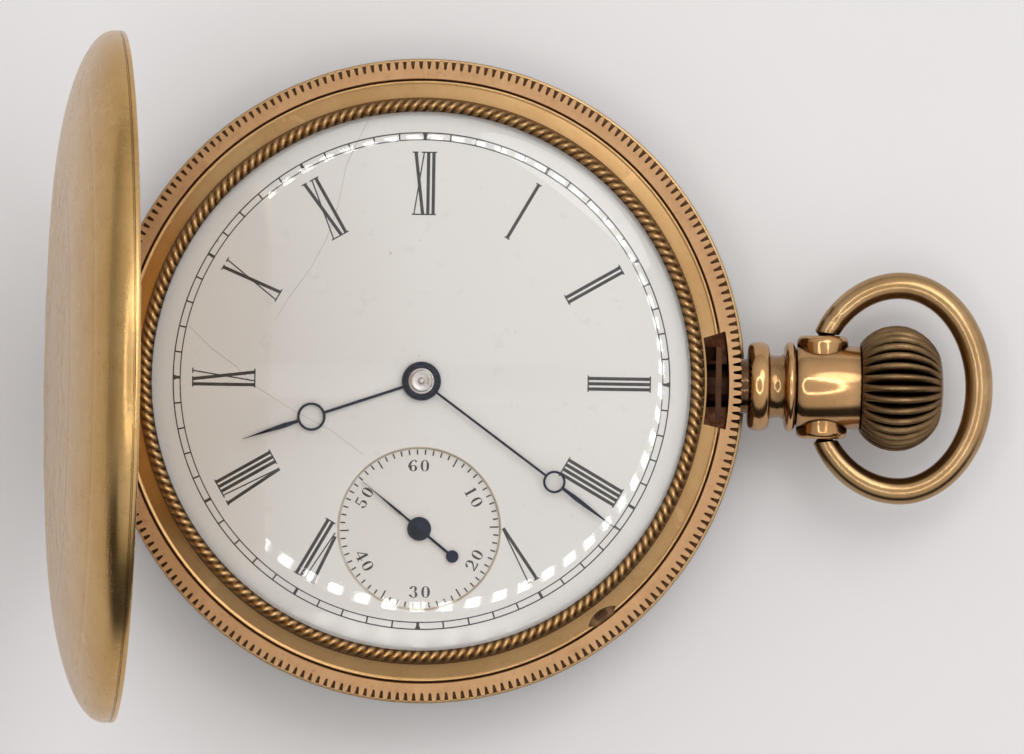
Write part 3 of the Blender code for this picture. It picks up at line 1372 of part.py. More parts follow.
def top_plate():
    """The three-quarter plate, cut away round the balance and the foot of its cock."""
    pivot = ARBOR * PIVOT_SHARE + PIVOT_GAP
    drilled = [(CENTRE, pivot), (THIRD, pivot), (BARREL, BARREL_ARBOR + PIVOT_GAP),
               (CROWN_WHEEL, CONTRATE + RUN_GAP)]
    drilled += [(at, JEWEL + PIVOT_GAP) for at in (FOURTH, ESCAPE)]
    drilled += [(at, SCREW + PIVOT_GAP) for at in PILLARS]
    plate = sheet("top_plate", plate_outlines(TOP_PLATE_RADIUS, drilled), TOP_LOWER, TOP_UPPER)
    for at, radius in ((BALANCE, BALANCE_RADIUS + BALANCE_ROOM), (COCK_FOOT, FOOT + FOOT_ROOM)):
        bay = rod("plate_bay", radius, TOP_LOWER - SCREW, TOP_UPPER + SCREW, ROUND_STEPS + 8)
        cut(plate, place(bay, *at))
    finish(plate, "nickel")
    for name, at in (("jewel_fourth", FOURTH), ("jewel_escape", ESCAPE)):
        stone = tube(name, JEWEL, pivot, TOP_LOWER, TOP_UPPER, SMALL_STEPS)
        finish(place(stone, *at), "ruby")
    for i, at in enumerate(PILLARS):
        post = turned(
            f"pillar_{i + 1}",
            [
                (0, PILLAR_BOTTOM - PIVOT_GAP),
                (PILLAR, PILLAR_BOTTOM - PIVOT_GAP),
                (PILLAR, TOP_UPPER + PIVOT_GAP),
                (SCREW + PIVOT_GAP, TOP_UPPER + PIVOT_GAP),
                (SCREW + PIVOT_GAP, TOP_UPPER + PLATE_SPACE * 0.6),
                (0, TOP_UPPER + PLATE_SPACE * 0.6),
            ],
            12,
        )
        finish(place(post, *at), "brass")
        screw(f"plate_screw_{i + 1}", at, SCREW_HEAD, TOP_LOWER - PIVOT_GAP - SCREW_HEAD_THICK,
              TOP_LOWER - PIVOT_GAP, TOP_UPPER + PLATE_SPACE * 0.5)


def bar_outline(start, start_radius, end, end_radius):
    """A flat bar with round ends of unlike radius."""
    turn = math.degrees(toward(start, end))
    return (arc(*end, end_radius, turn - 90, turn + 90, 8)
            + arc(*start, start_radius, turn + 90, turn + 270, 8))


def escapement():
    """Pallet fork and its bridge, balance wheel, hairspring, cock and regulator."""
    reach = apart(FORK, BALANCE)
    half = [(x * reach, y * reach) for x, y in FORK_HALF]
    fork = sheet("pallet_fork", [half + [(x, -y) for x, y in half[::-1]]], FORK_LOW,
                 FORK_LOW + WHEEL_THICK)
    axle = arbor("fork_arbor", BRIDGE_LOW + SEAT_GAP, PILLAR_TOP - RUN_GAP,
                 FORK_LOW - SEAT_GAP, PILLAR_BOTTOM - SEAT_GAP)
    for obj in (fork, axle):
        place(obj, *FORK)
        obj.rotation_euler.z = toward(FORK, BALANCE)
    finish(join(fork, axle), "steel")
    bar = sheet("pallet_bridge", [bar_outline(BRIDGE_FOOT, BRIDGE, FORK, BRIDGE * 0.8)],
                BRIDGE_LOW, BRIDGE_LOW + BRIDGE_THICK)
    foot = place(rod("bridge_foot", BRIDGE * 0.9, BRIDGE_LOW + SEAT_GAP, PILLAR_BOTTOM - PIVOT_GAP),
                 *BRIDGE_FOOT)
    hole = hole_at("bridge_hole", FORK, ARBOR * PIVOT_SHARE + PIVOT_GAP, BRIDGE_LOW, BRIDGE_LOW)
    finish(cut(join(bar, foot), hole), "nickel")
    balance_wheel()
    hairspring()
    balance_cock()


def balance_wheel():
    """The balance: a two-armed rim with timing screws, on its staff with the roller."""
    rim = []
    pitch = 360 / TIMING_SCREWS
    for i in range(TIMING_SCREWS):
        rim += arc(0, 0, BALANCE_RADIUS, pitch * (i + 0.2), pitch * (i + 1.0), 4)
        rim += arc(0, 0, BALANCE_RADIUS + TIMING_REACH, pitch * (i + 1.02), pitch * (i + 1.18), 2)
    arms = windows(2, STAFF * 3.2, BALANCE_RADIUS - BALANCE_RIM, BALANCE_RIM * 0.55)
    wheel = sheet("balance_wheel", [rim] + arms, BALANCE_LOW, BALANCE_LOW + BALANCE_HEIGHT)
    staff = arbor("balance_staff", COCK_LOWER + RUN_GAP, PILLAR_TOP - RUN_GAP, COCK_UPPER + SEAT_GAP,
                  PILLAR_BOTTOM - SEAT_GAP, STAFF)
    roller_low = FORK_LOW - SEAT_GAP - WHEEL_THICK
    roller = rod("roller", STAFF * 3, roller_low, FORK_LOW - SEAT_GAP, ROUND_STEPS)
    for obj in (wheel, staff, roller):
        place(obj, *BALANCE)
    return finish(join(wheel, staff, roller), "brass")


def hairspring():
    """The flat spiral over the balance, one unbroken wire."""
    inner = STAFF + HAIR_WIRE + 2 * RUN_GAP
    points = spiral(inner, BALANCE_RADIUS * HAIR_SHARE, HAIR_PITCH, HAIR_POINTS)
    print_turn_gap("hairspring", points, HAIR_POINTS, 2 * HAIR_WIRE)
    curve = bpy.data.curves.new("hairspring", "CURVE")
    curve.dimensions = "3D"
    curve.bevel_depth = HAIR_WIRE
    curve.bevel_resolution = 1
    curve.use_fill_caps = True
    line = curve.splines.new("POLY")
    line.points.add(len(points) - 1)
    for point, (x, y) in zip(line.points, points):
        point.co = (x, y, 0, 1)
    wire = bpy.data.objects.new("hairspring", curve)
    WATCH.objects.link(wire)
    spring = as_mesh(wire)
    return finish(place(spring, *BALANCE, (COCK_UPPER + BALANCE_LOW) / 2), "blued")


def balance_cock():
    """The bridge over the balance, with its foot, jewel, screw and the regulator."""
    bar = sheet("balance_cock", [bar_outline(COCK_FOOT, FOOT, BALANCE, COCK_HEAD)], COCK_LOWER,
                COCK_UPPER)
    foot = place(rod("cock_foot", FOOT - SEAT_GAP, COCK_LOWER + SEAT_GAP,
                     PILLAR_BOTTOM - PIVOT_GAP, ROUND_STEPS), *COCK_FOOT)
    jewel_hole = hole_at("cock_jewel_hole", BALANCE, JEWEL + PIVOT_GAP, COCK_LOWER, COCK_UPPER)
    tapped = place(rod("cock_tapped", SCREW + PIVOT_GAP, COCK_LOWER - SCREW, TOP_UPPER), *COCK_FOOT)
    head_top = COCK_LOWER + SCREW_HEAD_THICK
    sunk = place(rod("cock_sunk", SCREW_HEAD + PIVOT_GAP, COCK_LOWER - SCREW, head_top + PIVOT_GAP),
                 *COCK_FOOT)
    finish(cut(join(bar, foot), jewel_hole, tapped, sunk), "nickel")
    screw("cock_screw", COCK_FOOT, SCREW_HEAD, COCK_LOWER, head_top, TOP_LOWER)
    stone = tube("balance_jewel", JEWEL, STAFF * PIVOT_SHARE + PIVOT_GAP, COCK_LOWER, COCK_UPPER,
                 SMALL_STEPS)
    finish(place(stone, *BALANCE), "ruby")
    pointer = hand_outline([(0, COCK_HEAD * 0.85)], HAND_STEM, COCK_HEAD * 3)
    index = sheet("regulator", [pointer, circle(JEWEL, SMALL_STEPS)], REGULATOR_LOWER,
                  REGULATOR_LOWER + REGULATOR_THICK)
    index.rotation_euler.z = toward(BALANCE, COCK_FOOT) - REGULATOR_LEAN
    finish(place(index, *BALANCE), "steel")


case_band()
covers()
dust_cover()
bezel()
crystal()
setting_lever()
lock_spring()
lift_spring()
pendant()
bow()
crown()
winding_stem()
push_sleeve()
dial()
hands()
motion_works()
pillar_plate()
top_plate()
going_train()
barrel()
winding_works()
escapement()
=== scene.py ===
"""Looks of the hunter pocket watch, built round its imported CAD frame. Metres, +Z up."""

import json
import math

import bmesh
import bpy
from mathutils import Matrix, Vector


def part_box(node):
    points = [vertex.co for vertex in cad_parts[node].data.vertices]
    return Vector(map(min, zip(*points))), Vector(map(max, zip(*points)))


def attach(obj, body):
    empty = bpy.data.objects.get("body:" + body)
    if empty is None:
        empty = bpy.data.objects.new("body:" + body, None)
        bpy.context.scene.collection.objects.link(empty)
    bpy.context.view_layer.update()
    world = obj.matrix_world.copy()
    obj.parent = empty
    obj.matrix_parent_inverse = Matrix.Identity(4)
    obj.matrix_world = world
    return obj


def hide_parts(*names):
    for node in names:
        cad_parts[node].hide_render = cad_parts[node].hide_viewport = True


MM = 0.001
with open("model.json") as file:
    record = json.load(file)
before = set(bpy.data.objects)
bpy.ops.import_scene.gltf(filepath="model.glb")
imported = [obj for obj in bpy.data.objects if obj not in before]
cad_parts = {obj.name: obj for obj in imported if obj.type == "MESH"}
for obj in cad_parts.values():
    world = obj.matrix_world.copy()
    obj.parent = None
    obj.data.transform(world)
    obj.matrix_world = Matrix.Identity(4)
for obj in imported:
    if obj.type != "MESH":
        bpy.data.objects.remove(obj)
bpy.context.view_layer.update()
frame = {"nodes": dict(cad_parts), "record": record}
NODES = frame["nodes"]
scene = bpy.context.scene

# Sizes that the CAD frame also has
CASE_R = 20.75 * MM
BAND_R = 19.98 * MM
BAND_LOW, BAND_HIGH = 4.2 * MM, 8.6 * MM
BEZEL_R = 19.09 * MM
WINDOW_R = 17.23 * MM
DIAL_R = 17.33 * MM
DIAL_Z = 8.5 * MM
HINGE_X = -20.6 * MM
FRONT_Z, BACK_Z = 8.625 * MM, 4.175 * MM
DUST_X, DUST_Z = -18.7 * MM, 4.0 * MM
PENDANT_Z = 6.0 * MM
SECONDS_AT = Vector((0, -0.5424 * DIAL_R, 0))
LEVER_ANGLE = math.radians(-51.6)


# Meshes


def loft(rings, close=False):
    """Points and faces that join each ring to the next. A ring of one point is a pole."""
    points, starts = [], []
    for ring in rings:
        starts.append(len(points))
        points += ring
    faces = []
    pairs = list(zip(range(len(rings) - 1), range(1, len(rings))))
    if close:
        pairs.append((len(rings) - 1, 0))
    for a, b in pairs:
        na, nb = len(rings[a]), len(rings[b])
        count = max(na, nb)
        for i in range(count):
            j = (i + 1) % count
            corners = [starts[a] + i % na, starts[b] + i % nb, starts[b] + j % nb, starts[a] + j % na]
            if na == 1:
                corners.pop()
            elif nb == 1:
                corners.pop(2)
            faces.append(corners)
    return points, faces


def turn_rings(profile, steps, warp=None):
    """Rings of a profile of (radius, height) turned about Z. warp moves (row, angle, r, z)."""
    rings = []
    for row, (radius, height) in enumerate(profile):
        if radius == 0:
            rings.append([(0.0, 0.0, height)])
            continue
        ring = []
        for i in range(steps):
            angle = 2 * math.pi * i / steps
            r, z = warp(row, angle, radius, height) if warp else (radius, height)
            ring.append((r * math.cos(angle), r * math.sin(angle), z))
        rings.append(ring)
    return rings


def mesh_object(name, points, faces, sharp=40):
    mesh = bpy.data.meshes.new(name)
    mesh.from_pydata(points, [], faces)
    shape = bmesh.new()
    shape.from_mesh(mesh)
    bmesh.ops.recalc_face_normals(shape, faces=shape.faces)
    shape.to_mesh(mesh)
    shape.free()
    obj = bpy.data.objects.new(name, mesh)
    scene.collection.objects.link(obj)
    return soften(obj, sharp)


def soften(obj, sharp=40):
    obj.data.shade_smooth()
    obj.data.set_sharp_from_angle(angle=math.radians(sharp))
    return obj


def turned(name, profile, steps, warp=None, sharp=40):
    """A closed solid turned about Z."""
    both_poles = profile[0][0] == 0 and profile[-1][0] == 0
    points, faces = loft(turn_rings(profile, steps, warp), not both_poles)
    return mesh_object(name, points, faces, sharp)


def outline_object(name, outlines, low, high, bevel=0.0, turn=0.0, at=(0, 0)):
    """A flat piece between two heights: the first outline of each list is its edge."""
    curve = bpy.data.curves.new(name, "CURVE")
    curve.dimensions = "2D"
    curve.fill_mode = "BOTH"
    curve.extrude = (high - low) / 2 - bevel
    curve.bevel_depth = bevel
    curve.bevel_resolution = 2
    curve.offset = -bevel
    for points in outlines:
        line = curve.splines.new("POLY")
        line.points.add(len(points) - 1)
        for point, (x, y) in zip(line.points, points):
            point.co = (x, y, 0, 1)
        line.use_cyclic_u = True
    matrix = Matrix.Translation((at[0], at[1], (low + high) / 2)) @ Matrix.Rotation(turn, 4, "Z")
    return solid_curve(name, curve, matrix)


def solid_curve(name, curve, matrix=None):
    """The closed mesh of a curve, with its place in its vertices."""
    rough = bpy.data.objects.new(name + "_line", curve)
    scene.collection.objects.link(rough)
    bpy.context.view_layer.update()
    mesh = bpy.data.meshes.new_from_object(rough.evaluated_get(bpy.context.evaluated_depsgraph_get()))
    bpy.data.objects.remove(rough)
    shape = bmesh.new()
    shape.from_mesh(mesh)
    bmesh.ops.remove_doubles(shape, verts=shape.verts, dist=1e-7)
    bmesh.ops.recalc_face_normals(shape, faces=shape.faces)
    shape.to_mesh(mesh)
    shape.free()
    if matrix:
        mesh.transform(matrix)
    mesh.materials.clear()
    obj = bpy.data.objects.new(name, mesh)
    scene.collection.objects.link(obj)
    return soften(obj)


def rod(name, radius, low, high, steps=32, bevel=0.0):
    """A solid rod along Z with softened ends."""
    b = min(bevel, radius / 2)
    profile = [(0, high), (radius - b, high), (radius, high - b), (radius, low + b), (radius - b, low), (0, low)]
    return turned(name, profile, steps)


def along_x(obj, z=PENDANT_Z):
    obj.data.transform(Matrix.Translation((0, 0, z)) @ Matrix.Rotation(math.pi / 2, 4, "Y"))
    return obj


def along_y(obj, x, y, z):
    obj.data.transform(Matrix.Translation((x, y, z)) @ Matrix.Rotation(-math.pi / 2, 4, "X"))
    return obj


def box(name, low, high, turn=0.0):
    shape = bmesh.new()
    bmesh.ops.create_cube(shape, size=1)
    bmesh.ops.scale(shape, vec=Vector(high) - Vector(low), verts=shape.verts)
    bmesh.ops.translate(shape, vec=(Vector(high) + Vector(low)) / 2, verts=shape.verts)
    bmesh.ops.rotate(shape, cent=(0, 0, 0), matrix=Matrix.Rotation(turn, 3, "Z"), verts=shape.verts)
    mesh = bpy.data.meshes.new(name)
    shape.to_mesh(mesh)
    shape.free()
    obj = bpy.data.objects.new(name, mesh)
    scene.collection.objects.link(obj)
    return obj


def boolean(obj, others, operation):
    """Cuts or joins for good, so that the piece keeps one plain mesh."""
    for other in others:
        step = obj.modifiers.new(other.name, "BOOLEAN")
        step.operation = operation
        step.solver = "EXACT"
        step.object = other
    bpy.context.view_layer.update()
    mesh = bpy.data.meshes.new_from_object(obj.evaluated_get(bpy.context.evaluated_depsgraph_get()))
    obj.modifiers.clear()
    old, obj.data = obj.data, mesh
    bpy.data.meshes.remove(old)
    for other in others:
        bpy.data.objects.remove(other)
    obj.data.materials.clear()
    return soften(obj)


def carve(obj, *cutters):
    return boolean(obj, cutters, "DIFFERENCE")


def weld(obj, *others):
    return boolean(obj, others, "UNION")


def circle(radius, steps, x=0.0, y=0.0):
    return [(x + radius * math.cos(2 * math.pi * i / steps), y + radius * math.sin(2 * math.pi * i / steps))
            for i in range(steps)]


def arc(x, y, radius, start, end, count):
    points = []
    for i in range(count):
        angle = math.radians(start + (end - start) * i / (count - 1))
        points.append((x + radius * math.cos(angle), y + radius * math.sin(angle)))
    return points


def piece(obj, material, body, slot, *nodes):
    """Finishes a piece: its material, the body that it rides on and the CAD nodes it stands for."""
    obj.data.materials.append(material)
    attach(obj, body)
    if nodes:
        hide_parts(*nodes)
    return obj


# Materials


class Shader:
    """A Principled material with short names for the nodes that feed it."""

    def __init__(self, name, **values):
        self.material = bpy.data.materials.new(name)
        self.material.use_nodes = True
        self.nodes = self.material.node_tree.nodes
        self.links = self.material.node_tree.links
        self.bsdf = self.nodes["Principled BSDF"]
        self.place = self.node("ShaderNodeTexCoord").outputs["Object"]
        for socket, value in values.items():
            self.bsdf.inputs[socket.replace("_", " ")].default_value = value

    def node(self, kind, inputs=(), **settings):
        made = self.nodes.new(kind)
        for key, value in settings.items():
            setattr(made, key, value)
        for socket, value in dict(inputs).items():
            if isinstance(value, bpy.types.NodeSocket):
                self.links.new(value, made.inputs[socket])
            else:
                made.inputs[socket].default_value = value
        return made

    def noise(self, size, detail=3.0, rough=0.55, stretch=(1, 1, 1), warp=0.0):
        """Noise whose features are about size metres across, drawn out along an axis by stretch."""
        scale = tuple(1 / (size * s) for s in stretch)
        put = self.node("ShaderNodeMapping", {"Vector": self.place, "Scale": scale})
        made = self.node("ShaderNodeTexNoise", {"Vector": put.outputs[0], "Scale": 1.0, "Detail": detail,
                                                "Roughness": rough, "Distortion": warp})
        return made.outputs["Fac"]

    def ramp(self, value, *stops):
        """Maps a value through (position, grey or colour) stops."""
        made = self.node("ShaderNodeValToRGB", {"Fac": value})
        steps = made.color_ramp.elements
        while len(steps) < len(stops):
            steps.new(0.5)
        for step, (position, colour) in zip(steps, stops):
            step.position = position
            step.color = (colour, colour, colour, 1) if isinstance(colour, (int, float)) else (*colour, 1)
        return made.outputs["Color"]

    def mix(self, factor, a, b, blend="MIX"):
        made = self.node("ShaderNodeMix", data_type="RGBA", blend_type=blend)
        for socket, value in ((0, factor), (6, a), (7, b)):
            if isinstance(value, bpy.types.NodeSocket):
                self.links.new(value, made.inputs[socket])
            elif socket:
                made.inputs[socket].default_value = (*value, 1)
            else:
                made.inputs[socket].default_value = value
        return made.outputs[2]

    def math(self, operation, a, b=0.0):
        made = self.node("ShaderNodeMath", {0: a, 1: b}, operation=operation)
        return made.outputs[0]

    def corners(self, distance, low=0.35, high=0.95, alone=False):
        """White in the open and black in crevices, where dirt gathers and shade falls: a mask for dirt and painted
        shade. alone leaves other pieces out.
        """
        made = self.node("ShaderNodeAmbientOcclusion", {"Distance": distance}, samples=4, only_local=alone)
        return self.ramp(made.outputs["AO"], (low, 0.0), (high, 1.0))

    def edges(self, low=0.515, high=0.56):
        """White along worn outer edges."""
        point = self.node("ShaderNodeNewGeometry").outputs["Pointiness"]
        return self.ramp(point, (low, 0.0), (high, 1.0))

    def polar(self, place=None):
        """Radius and angle about Z of the place, in metres and radians."""
        split = self.node("ShaderNodeSeparateXYZ", {0: place or self.place}).outputs
        square = self.math("ADD", self.math("MULTIPLY", split[0], split[0]), self.math("MULTIPLY", split[1], split[1]))
        return self.math("SQRT", square), self.math("ARCTAN2", split[1], split[0])

    def within(self, value, low, high, soft):
        """White where a value lies between two bounds, with soft ends."""
        up = self.node("ShaderNodeMapRange", {"Value": value, "From Min": low - soft, "From Max": low + soft})
        down = self.node("ShaderNodeMapRange", {"Value": value, "From Min": high - soft, "From Max": high + soft,
                                                "To Min": 1.0, "To Max": 0.0})
        return self.math("MULTIPLY", up.outputs[0], down.outputs[0])

    def colour(self, value):
        self.links.new(value, self.bsdf.inputs["Base Color"])

    def rough(self, value, low, high):
        made = self.node("ShaderNodeMapRange", {"Value": value, "To Min": low, "To Max": high})
        self.links.new(made.outputs[0], self.bsdf.inputs["Roughness"])

    def bump(self, *layers):
        """Relief from (height, strength, depth in metres) layers."""
        normal = None
        for height, strength, depth in layers:
            made = self.node("ShaderNodeBump", {"Height": height, "Strength": strength, "Distance": depth})
            if normal:
                self.links.new(normal, made.inputs["Normal"])
            normal = made.outputs["Normal"]
        self.links.new(normal, self.bsdf.inputs["Normal"])


RECESS_OUT = 19.6 * MM
# near-black of dirt and painted shade, for the coin edge's notches and the back cover's rim
GRIME_AND_SHADE = (0.026, 0.009, 0.005)
# rust-brown of the catch's recess: grime and painted shade
RECESS_GRIME_AND_SHADE = (0.13, 0.05, 0.024), (0.30, 0.14, 0.07)


def metal(name, base, pale, dirt_and_shade, rough=(0.2, 0.36), crevice=0.5 * MM, grain=(1, 1, 1), scratch=0.08,
          edge=True, spots=0.35, grime_and_shade_ring=None, turned_at=None, recess=False):
    """Worn metal: clouded colour, dirt and painted shade in crevices, bright edges, fine scratches and dull patches.

    grime_and_shade_ring gives the low and high radius of a ring about Z that is darkened towards
    the dirt colour, the height it reaches and its share: grime and painted shade. turned_at is the
    matrix that brings a cover's axis to Z, for hairlines that run round it. recess paints the catch's
    recess rust-brown: grime and painted shade.
    """
    s = Shader(name, Metallic=1.0)
    cloud = s.ramp(s.noise(4 * MM, 4, 0.6, warp=0.6), (0.35, 0.0), (0.7, 1.0))
    colour = s.mix(cloud, base, pale)
    speck = s.ramp(s.noise(0.55 * MM, 5, 0.7), (0.55, 0.0), (0.72, spots))
    colour = s.mix(speck, colour, tuple(0.55 * b + 0.45 * d for b, d in zip(base, dirt_and_shade)))
    if edge:
        colour = s.mix(s.math("MULTIPLY", s.edges(), 0.45), colour, tuple(min(1, 1.2 * p) for p in pale))
    # dirt and painted shade: crevices darkened towards the dirt colour
    colour = s.mix(s.corners(crevice), dirt_and_shade, colour)
    # grime and painted shade: a ring about Z, below a height, darkened towards the dirt colour
    if grime_and_shade_ring:
        low, high, below, share = grime_and_shade_ring
        radius = s.polar()[0]
        height = s.node("ShaderNodeSeparateXYZ", {0: s.place}).outputs[2]
        ring = s.within(radius, low, high, 0.015 * MM)
        deep = s.within(height, 0.0, below, 0.02 * MM)
        colour = s.mix(s.math("MULTIPLY", s.math("MULTIPLY", ring, deep), share), colour, dirt_and_shade)
    # grime and painted shade: the walls of the catch's recess painted rust-brown
    if recess:
        x, y, z = s.node("ShaderNodeSeparateXYZ", {0: s.place}).outputs
        spot = s.math("MULTIPLY", s.within(x, 18.0 * MM, RECESS_OUT, 0.04 * MM), s.within(z, 0.0, 8.53 * MM, 0.03 * MM))
        spot = s.math("MULTIPLY", spot, s.within(y, -3.0 * MM, 3.6 * MM, 0.02 * MM))
        recess_grime_and_shade = s.mix(s.ramp(s.noise(0.7 * MM, 4, 0.6), (0.42, 0.0), (0.62, 1.0)), *RECESS_GRIME_AND_SHADE)
        colour = s.mix(s.math("MULTIPLY", spot, 0.96), colour, recess_grime_and_shade)
    s.colour(colour)
    hairs = s.noise(0.16 * MM, 2, 0.5, stretch=grain)
    if turned_at:
        spin = s.node("ShaderNodeMapping", {"Vector": s.place, "Location": turned_at.translation,
                                            "Rotation": turned_at.to_euler()})
        radius, angle = s.polar(spin.outputs[0])
        line = s.node("ShaderNodeCombineXYZ", {0: s.math("MULTIPLY", radius, 1 / (0.11 * MM)),
                                               1: s.math("MULTIPLY", angle, 5.0)})
        hairs = s.node("ShaderNodeTexNoise", {"Vector": line.outputs[0], "Scale": 1.0, "Detail": 2.0}).outputs["Fac"]
    dull = s.noise(1.6 * MM, 5, 0.65)
    s.rough(s.math("ADD", s.math("MULTIPLY", dull, 0.75), s.math("MULTIPLY", hairs, 0.25)), *rough)
    s.bump((hairs, scratch, 0.02 * MM), (dull, 0.05, 0.05 * MM))
    return s.material


FRONT_SWING = (Matrix.Translation((HINGE_X, 0, FRONT_Z)) @ Matrix.Rotation(math.radians(-82.5), 4, "Y")
               @ Matrix.Translation((-HINGE_X, 0, -FRONT_Z)))
COIN_COUNT = 244
COIN_TIP = 20.40 * MM
COIN_ROOT = 19.84 * MM
COIN_TOP = BAND_HIGH

GOLD = metal("worn_gold_fill", (0.48, 0.27, 0.108), (0.55, 0.33, 0.145), (0.10, 0.045, 0.018), grain=(9, 1, 1))
# grime and painted shade: the rope's outer flank darkened half way to the dirt colour
BEZEL_GOLD = metal("bezel_gold", (0.47, 0.275, 0.115), (0.53, 0.33, 0.15), (0.05, 0.02, 0.009), (0.27, 0.4),
                   crevice=0.45 * MM, grime_and_shade_ring=(17.6 * MM, 18.02 * MM, 10 * MM, 0.5), recess=True)
LID_GOLD = metal("lid_gold", (0.50, 0.30, 0.105), (0.56, 0.36, 0.15), (0.11, 0.055, 0.025), (0.2, 0.33),
                 scratch=0.45, turned_at=FRONT_SWING.inverted())
# grime and painted shade: the back cover's rim under the coin edge darkened almost black
BACK_GOLD = metal("back_gold", (0.35, 0.22, 0.098), (0.41, 0.275, 0.135), GRIME_AND_SHADE, (0.26, 0.4), scratch=0.45,
                  edge=False, grime_and_shade_ring=(19.0 * MM, 20.58 * MM, 9 * MM, 0.94), turned_at=Matrix.Identity(4))
# grime and painted shade: the walls and floors of the notches darkened almost black
COIN_GOLD = metal("coin_edge_gold", (0.355, 0.20, 0.097), (0.42, 0.25, 0.128), GRIME_AND_SHADE, (0.32, 0.46),
                  crevice=0.5 * MM, spots=0.6, grime_and_shade_ring=(COIN_ROOT - 0.015 * MM, COIN_TIP - 0.03 * MM, COIN_TOP - 0.06 * MM, 0.94),
                  recess=True)
BOW_GOLD = metal("bow_gold", (0.35, 0.215, 0.10), (0.45, 0.295, 0.15), (0.05, 0.022, 0.011), (0.16, 0.3),
                 grain=(1, 1, 6))
PENDANT_GOLD = metal("pendant_gold", (0.44, 0.245, 0.105), (0.52, 0.32, 0.15), (0.030, 0.012, 0.007),
                     (0.1, 0.2), crevice=0.9 * MM, spots=0.25)
CROWN_GOLD = metal("crown_gold", (0.105, 0.062, 0.030), (0.30, 0.19, 0.09), (0.007, 0.004, 0.003), (0.22, 0.44),
                   crevice=0.9 * MM, spots=0.85)
BRASS = metal("gilt_brass", (0.60, 0.42, 0.15), (0.66, 0.49, 0.2), (0.16, 0.08, 0.02), (0.22, 0.36), 0.3 * MM)
NICKEL = metal("frosted_nickel", (0.55, 0.53, 0.49), (0.62, 0.60, 0.56), (0.14, 0.12, 0.1), (0.3, 0.42),
               0.4 * MM, grain=(12, 1, 1), scratch=0.2)
STEEL = metal("polished_steel", (0.5, 0.51, 0.53), (0.6, 0.61, 0.62), (0.07, 0.06, 0.05), (0.12, 0.26), 0.3 * MM,
              grain=(8, 1, 1))
DULL_STEEL = metal("dull_steel", (0.40, 0.37, 0.36), (0.52, 0.49, 0.47), (0.08, 0.06, 0.05), (0.2, 0.36), 0.25 * MM)
# near-black rusty steel for the pieces in the catch's recess: grime and painted shade
GRIMED_AND_SHADED_STEEL = metal("grimed_and_shaded_steel", (0.045, 0.022, 0.016), (0.085, 0.04, 0.022), (0.02, 0.009, 0.007), (0.4, 0.65),
               0.8 * MM, edge=False, spots=0.8)
BLUED = metal("blued_steel", (0.008, 0.010, 0.020), (0.012, 0.016, 0.036), (0.004, 0.004, 0.006), (0.2, 0.34),
              0.2 * MM, edge=False, spots=0.15)
SPRING = metal("spring_steel", (0.05, 0.06, 0.1), (0.09, 0.1, 0.15), (0.02, 0.02, 0.03), (0.16, 0.3), 0.2 * MM,
               grain=(10, 10, 1), edge=False)


def enamel(name, base, shade):
    """Fired white enamel: a soft cloud of colour, pin-holes, painted tan shade in its own hollows and hardly any
    relief.
    """
    s = Shader(name, Coat_Weight=0.35, Coat_Roughness=0.06)
    cloud = s.ramp(s.noise(9 * MM, 4, 0.6), (0.3, 0.0), (0.75, 1.0))
    colour = s.mix(cloud, base, shade)
    pins = s.ramp(s.noise(0.22 * MM, 2, 0.5), (0.74, 0.0), (0.80, 0.22))
    colour = s.mix(pins, colour, (0.42, 0.38, 0.33))
    # painted shade: tan in the enamel's own hollows and along its edges
    s.colour(s.mix(s.corners(0.3 * MM, 0.3, 0.9, alone=True), (0.45, 0.38, 0.30), colour))
    fine = s.noise(0.9 * MM, 4, 0.6)
    s.rough(fine, 0.26, 0.3)
    s.bump((fine, 0.015, 0.02 * MM))
    return s.material


def ink(name, base, worn):
    """Black dial paint with slightly thin places."""
    s = Shader(name)
    thin = s.ramp(s.noise(0.35 * MM, 4, 0.65), (0.45, 0.0), (0.8, 1.0))
    s.colour(s.mix(thin, base, worn))
    s.rough(s.noise(0.2 * MM, 3), 0.3, 0.5)
    return s.material


ENAMEL = enamel("white_enamel", (0.75, 0.733, 0.722), (0.742, 0.724, 0.712))
SUNK_ENAMEL = enamel("sunk_enamel", (0.745, 0.72, 0.70), (0.733, 0.708, 0.685))
INK = ink("dial_black", (0.012, 0.011, 0.012), (0.05, 0.045, 0.045))
CRACK = ink("crack_grey", (0.47, 0.44, 0.41), (0.60, 0.57, 0.54))


def crystal_glass():
    """Thin old glass: clear, with a skin of gloss by Fresnel and faint smears."""
    s = Shader("watch_glass")
    s.nodes.remove(s.bsdf)
    clear = s.node("ShaderNodeBsdfTransparent", {"Color": (0.985, 0.985, 0.98, 1)})
    smear = s.noise(2.5 * MM, 5, 0.65, warp=0.8)
    dull = s.node("ShaderNodeMapRange", {"Value": smear, "To Min": 0.01, "To Max": 0.06})
    gloss = s.node("ShaderNodeBsdfGlossy", {"Roughness": dull.outputs[0]})
    skin = s.node("ShaderNodeFresnel", {"IOR": 1.46})
    inner = s.node("ShaderNodeNewGeometry").outputs["Backfacing"]
    film = s.math("MULTIPLY", skin.outputs[0], s.math("SUBTRACT", 1.4, s.math("MULTIPLY", inner, 1.4)))
    both = s.node("ShaderNodeMixShader", {0: film, 1: clear.outputs[0], 2: gloss.outputs[0]})
    s.links.new(both.outputs[0], s.nodes["Material Output"].inputs["Surface"])
    return s.material


def ruby():
    s = Shader("ruby_jewel", Transmission_Weight=0.4, IOR=1.76)
    s.colour(s.mix(s.noise(0.3 * MM, 3), (0.42, 0.012, 0.05), (0.6, 0.03, 0.09)))
    s.rough(s.noise(0.2 * MM, 3), 0.03, 0.12)
    return s.material


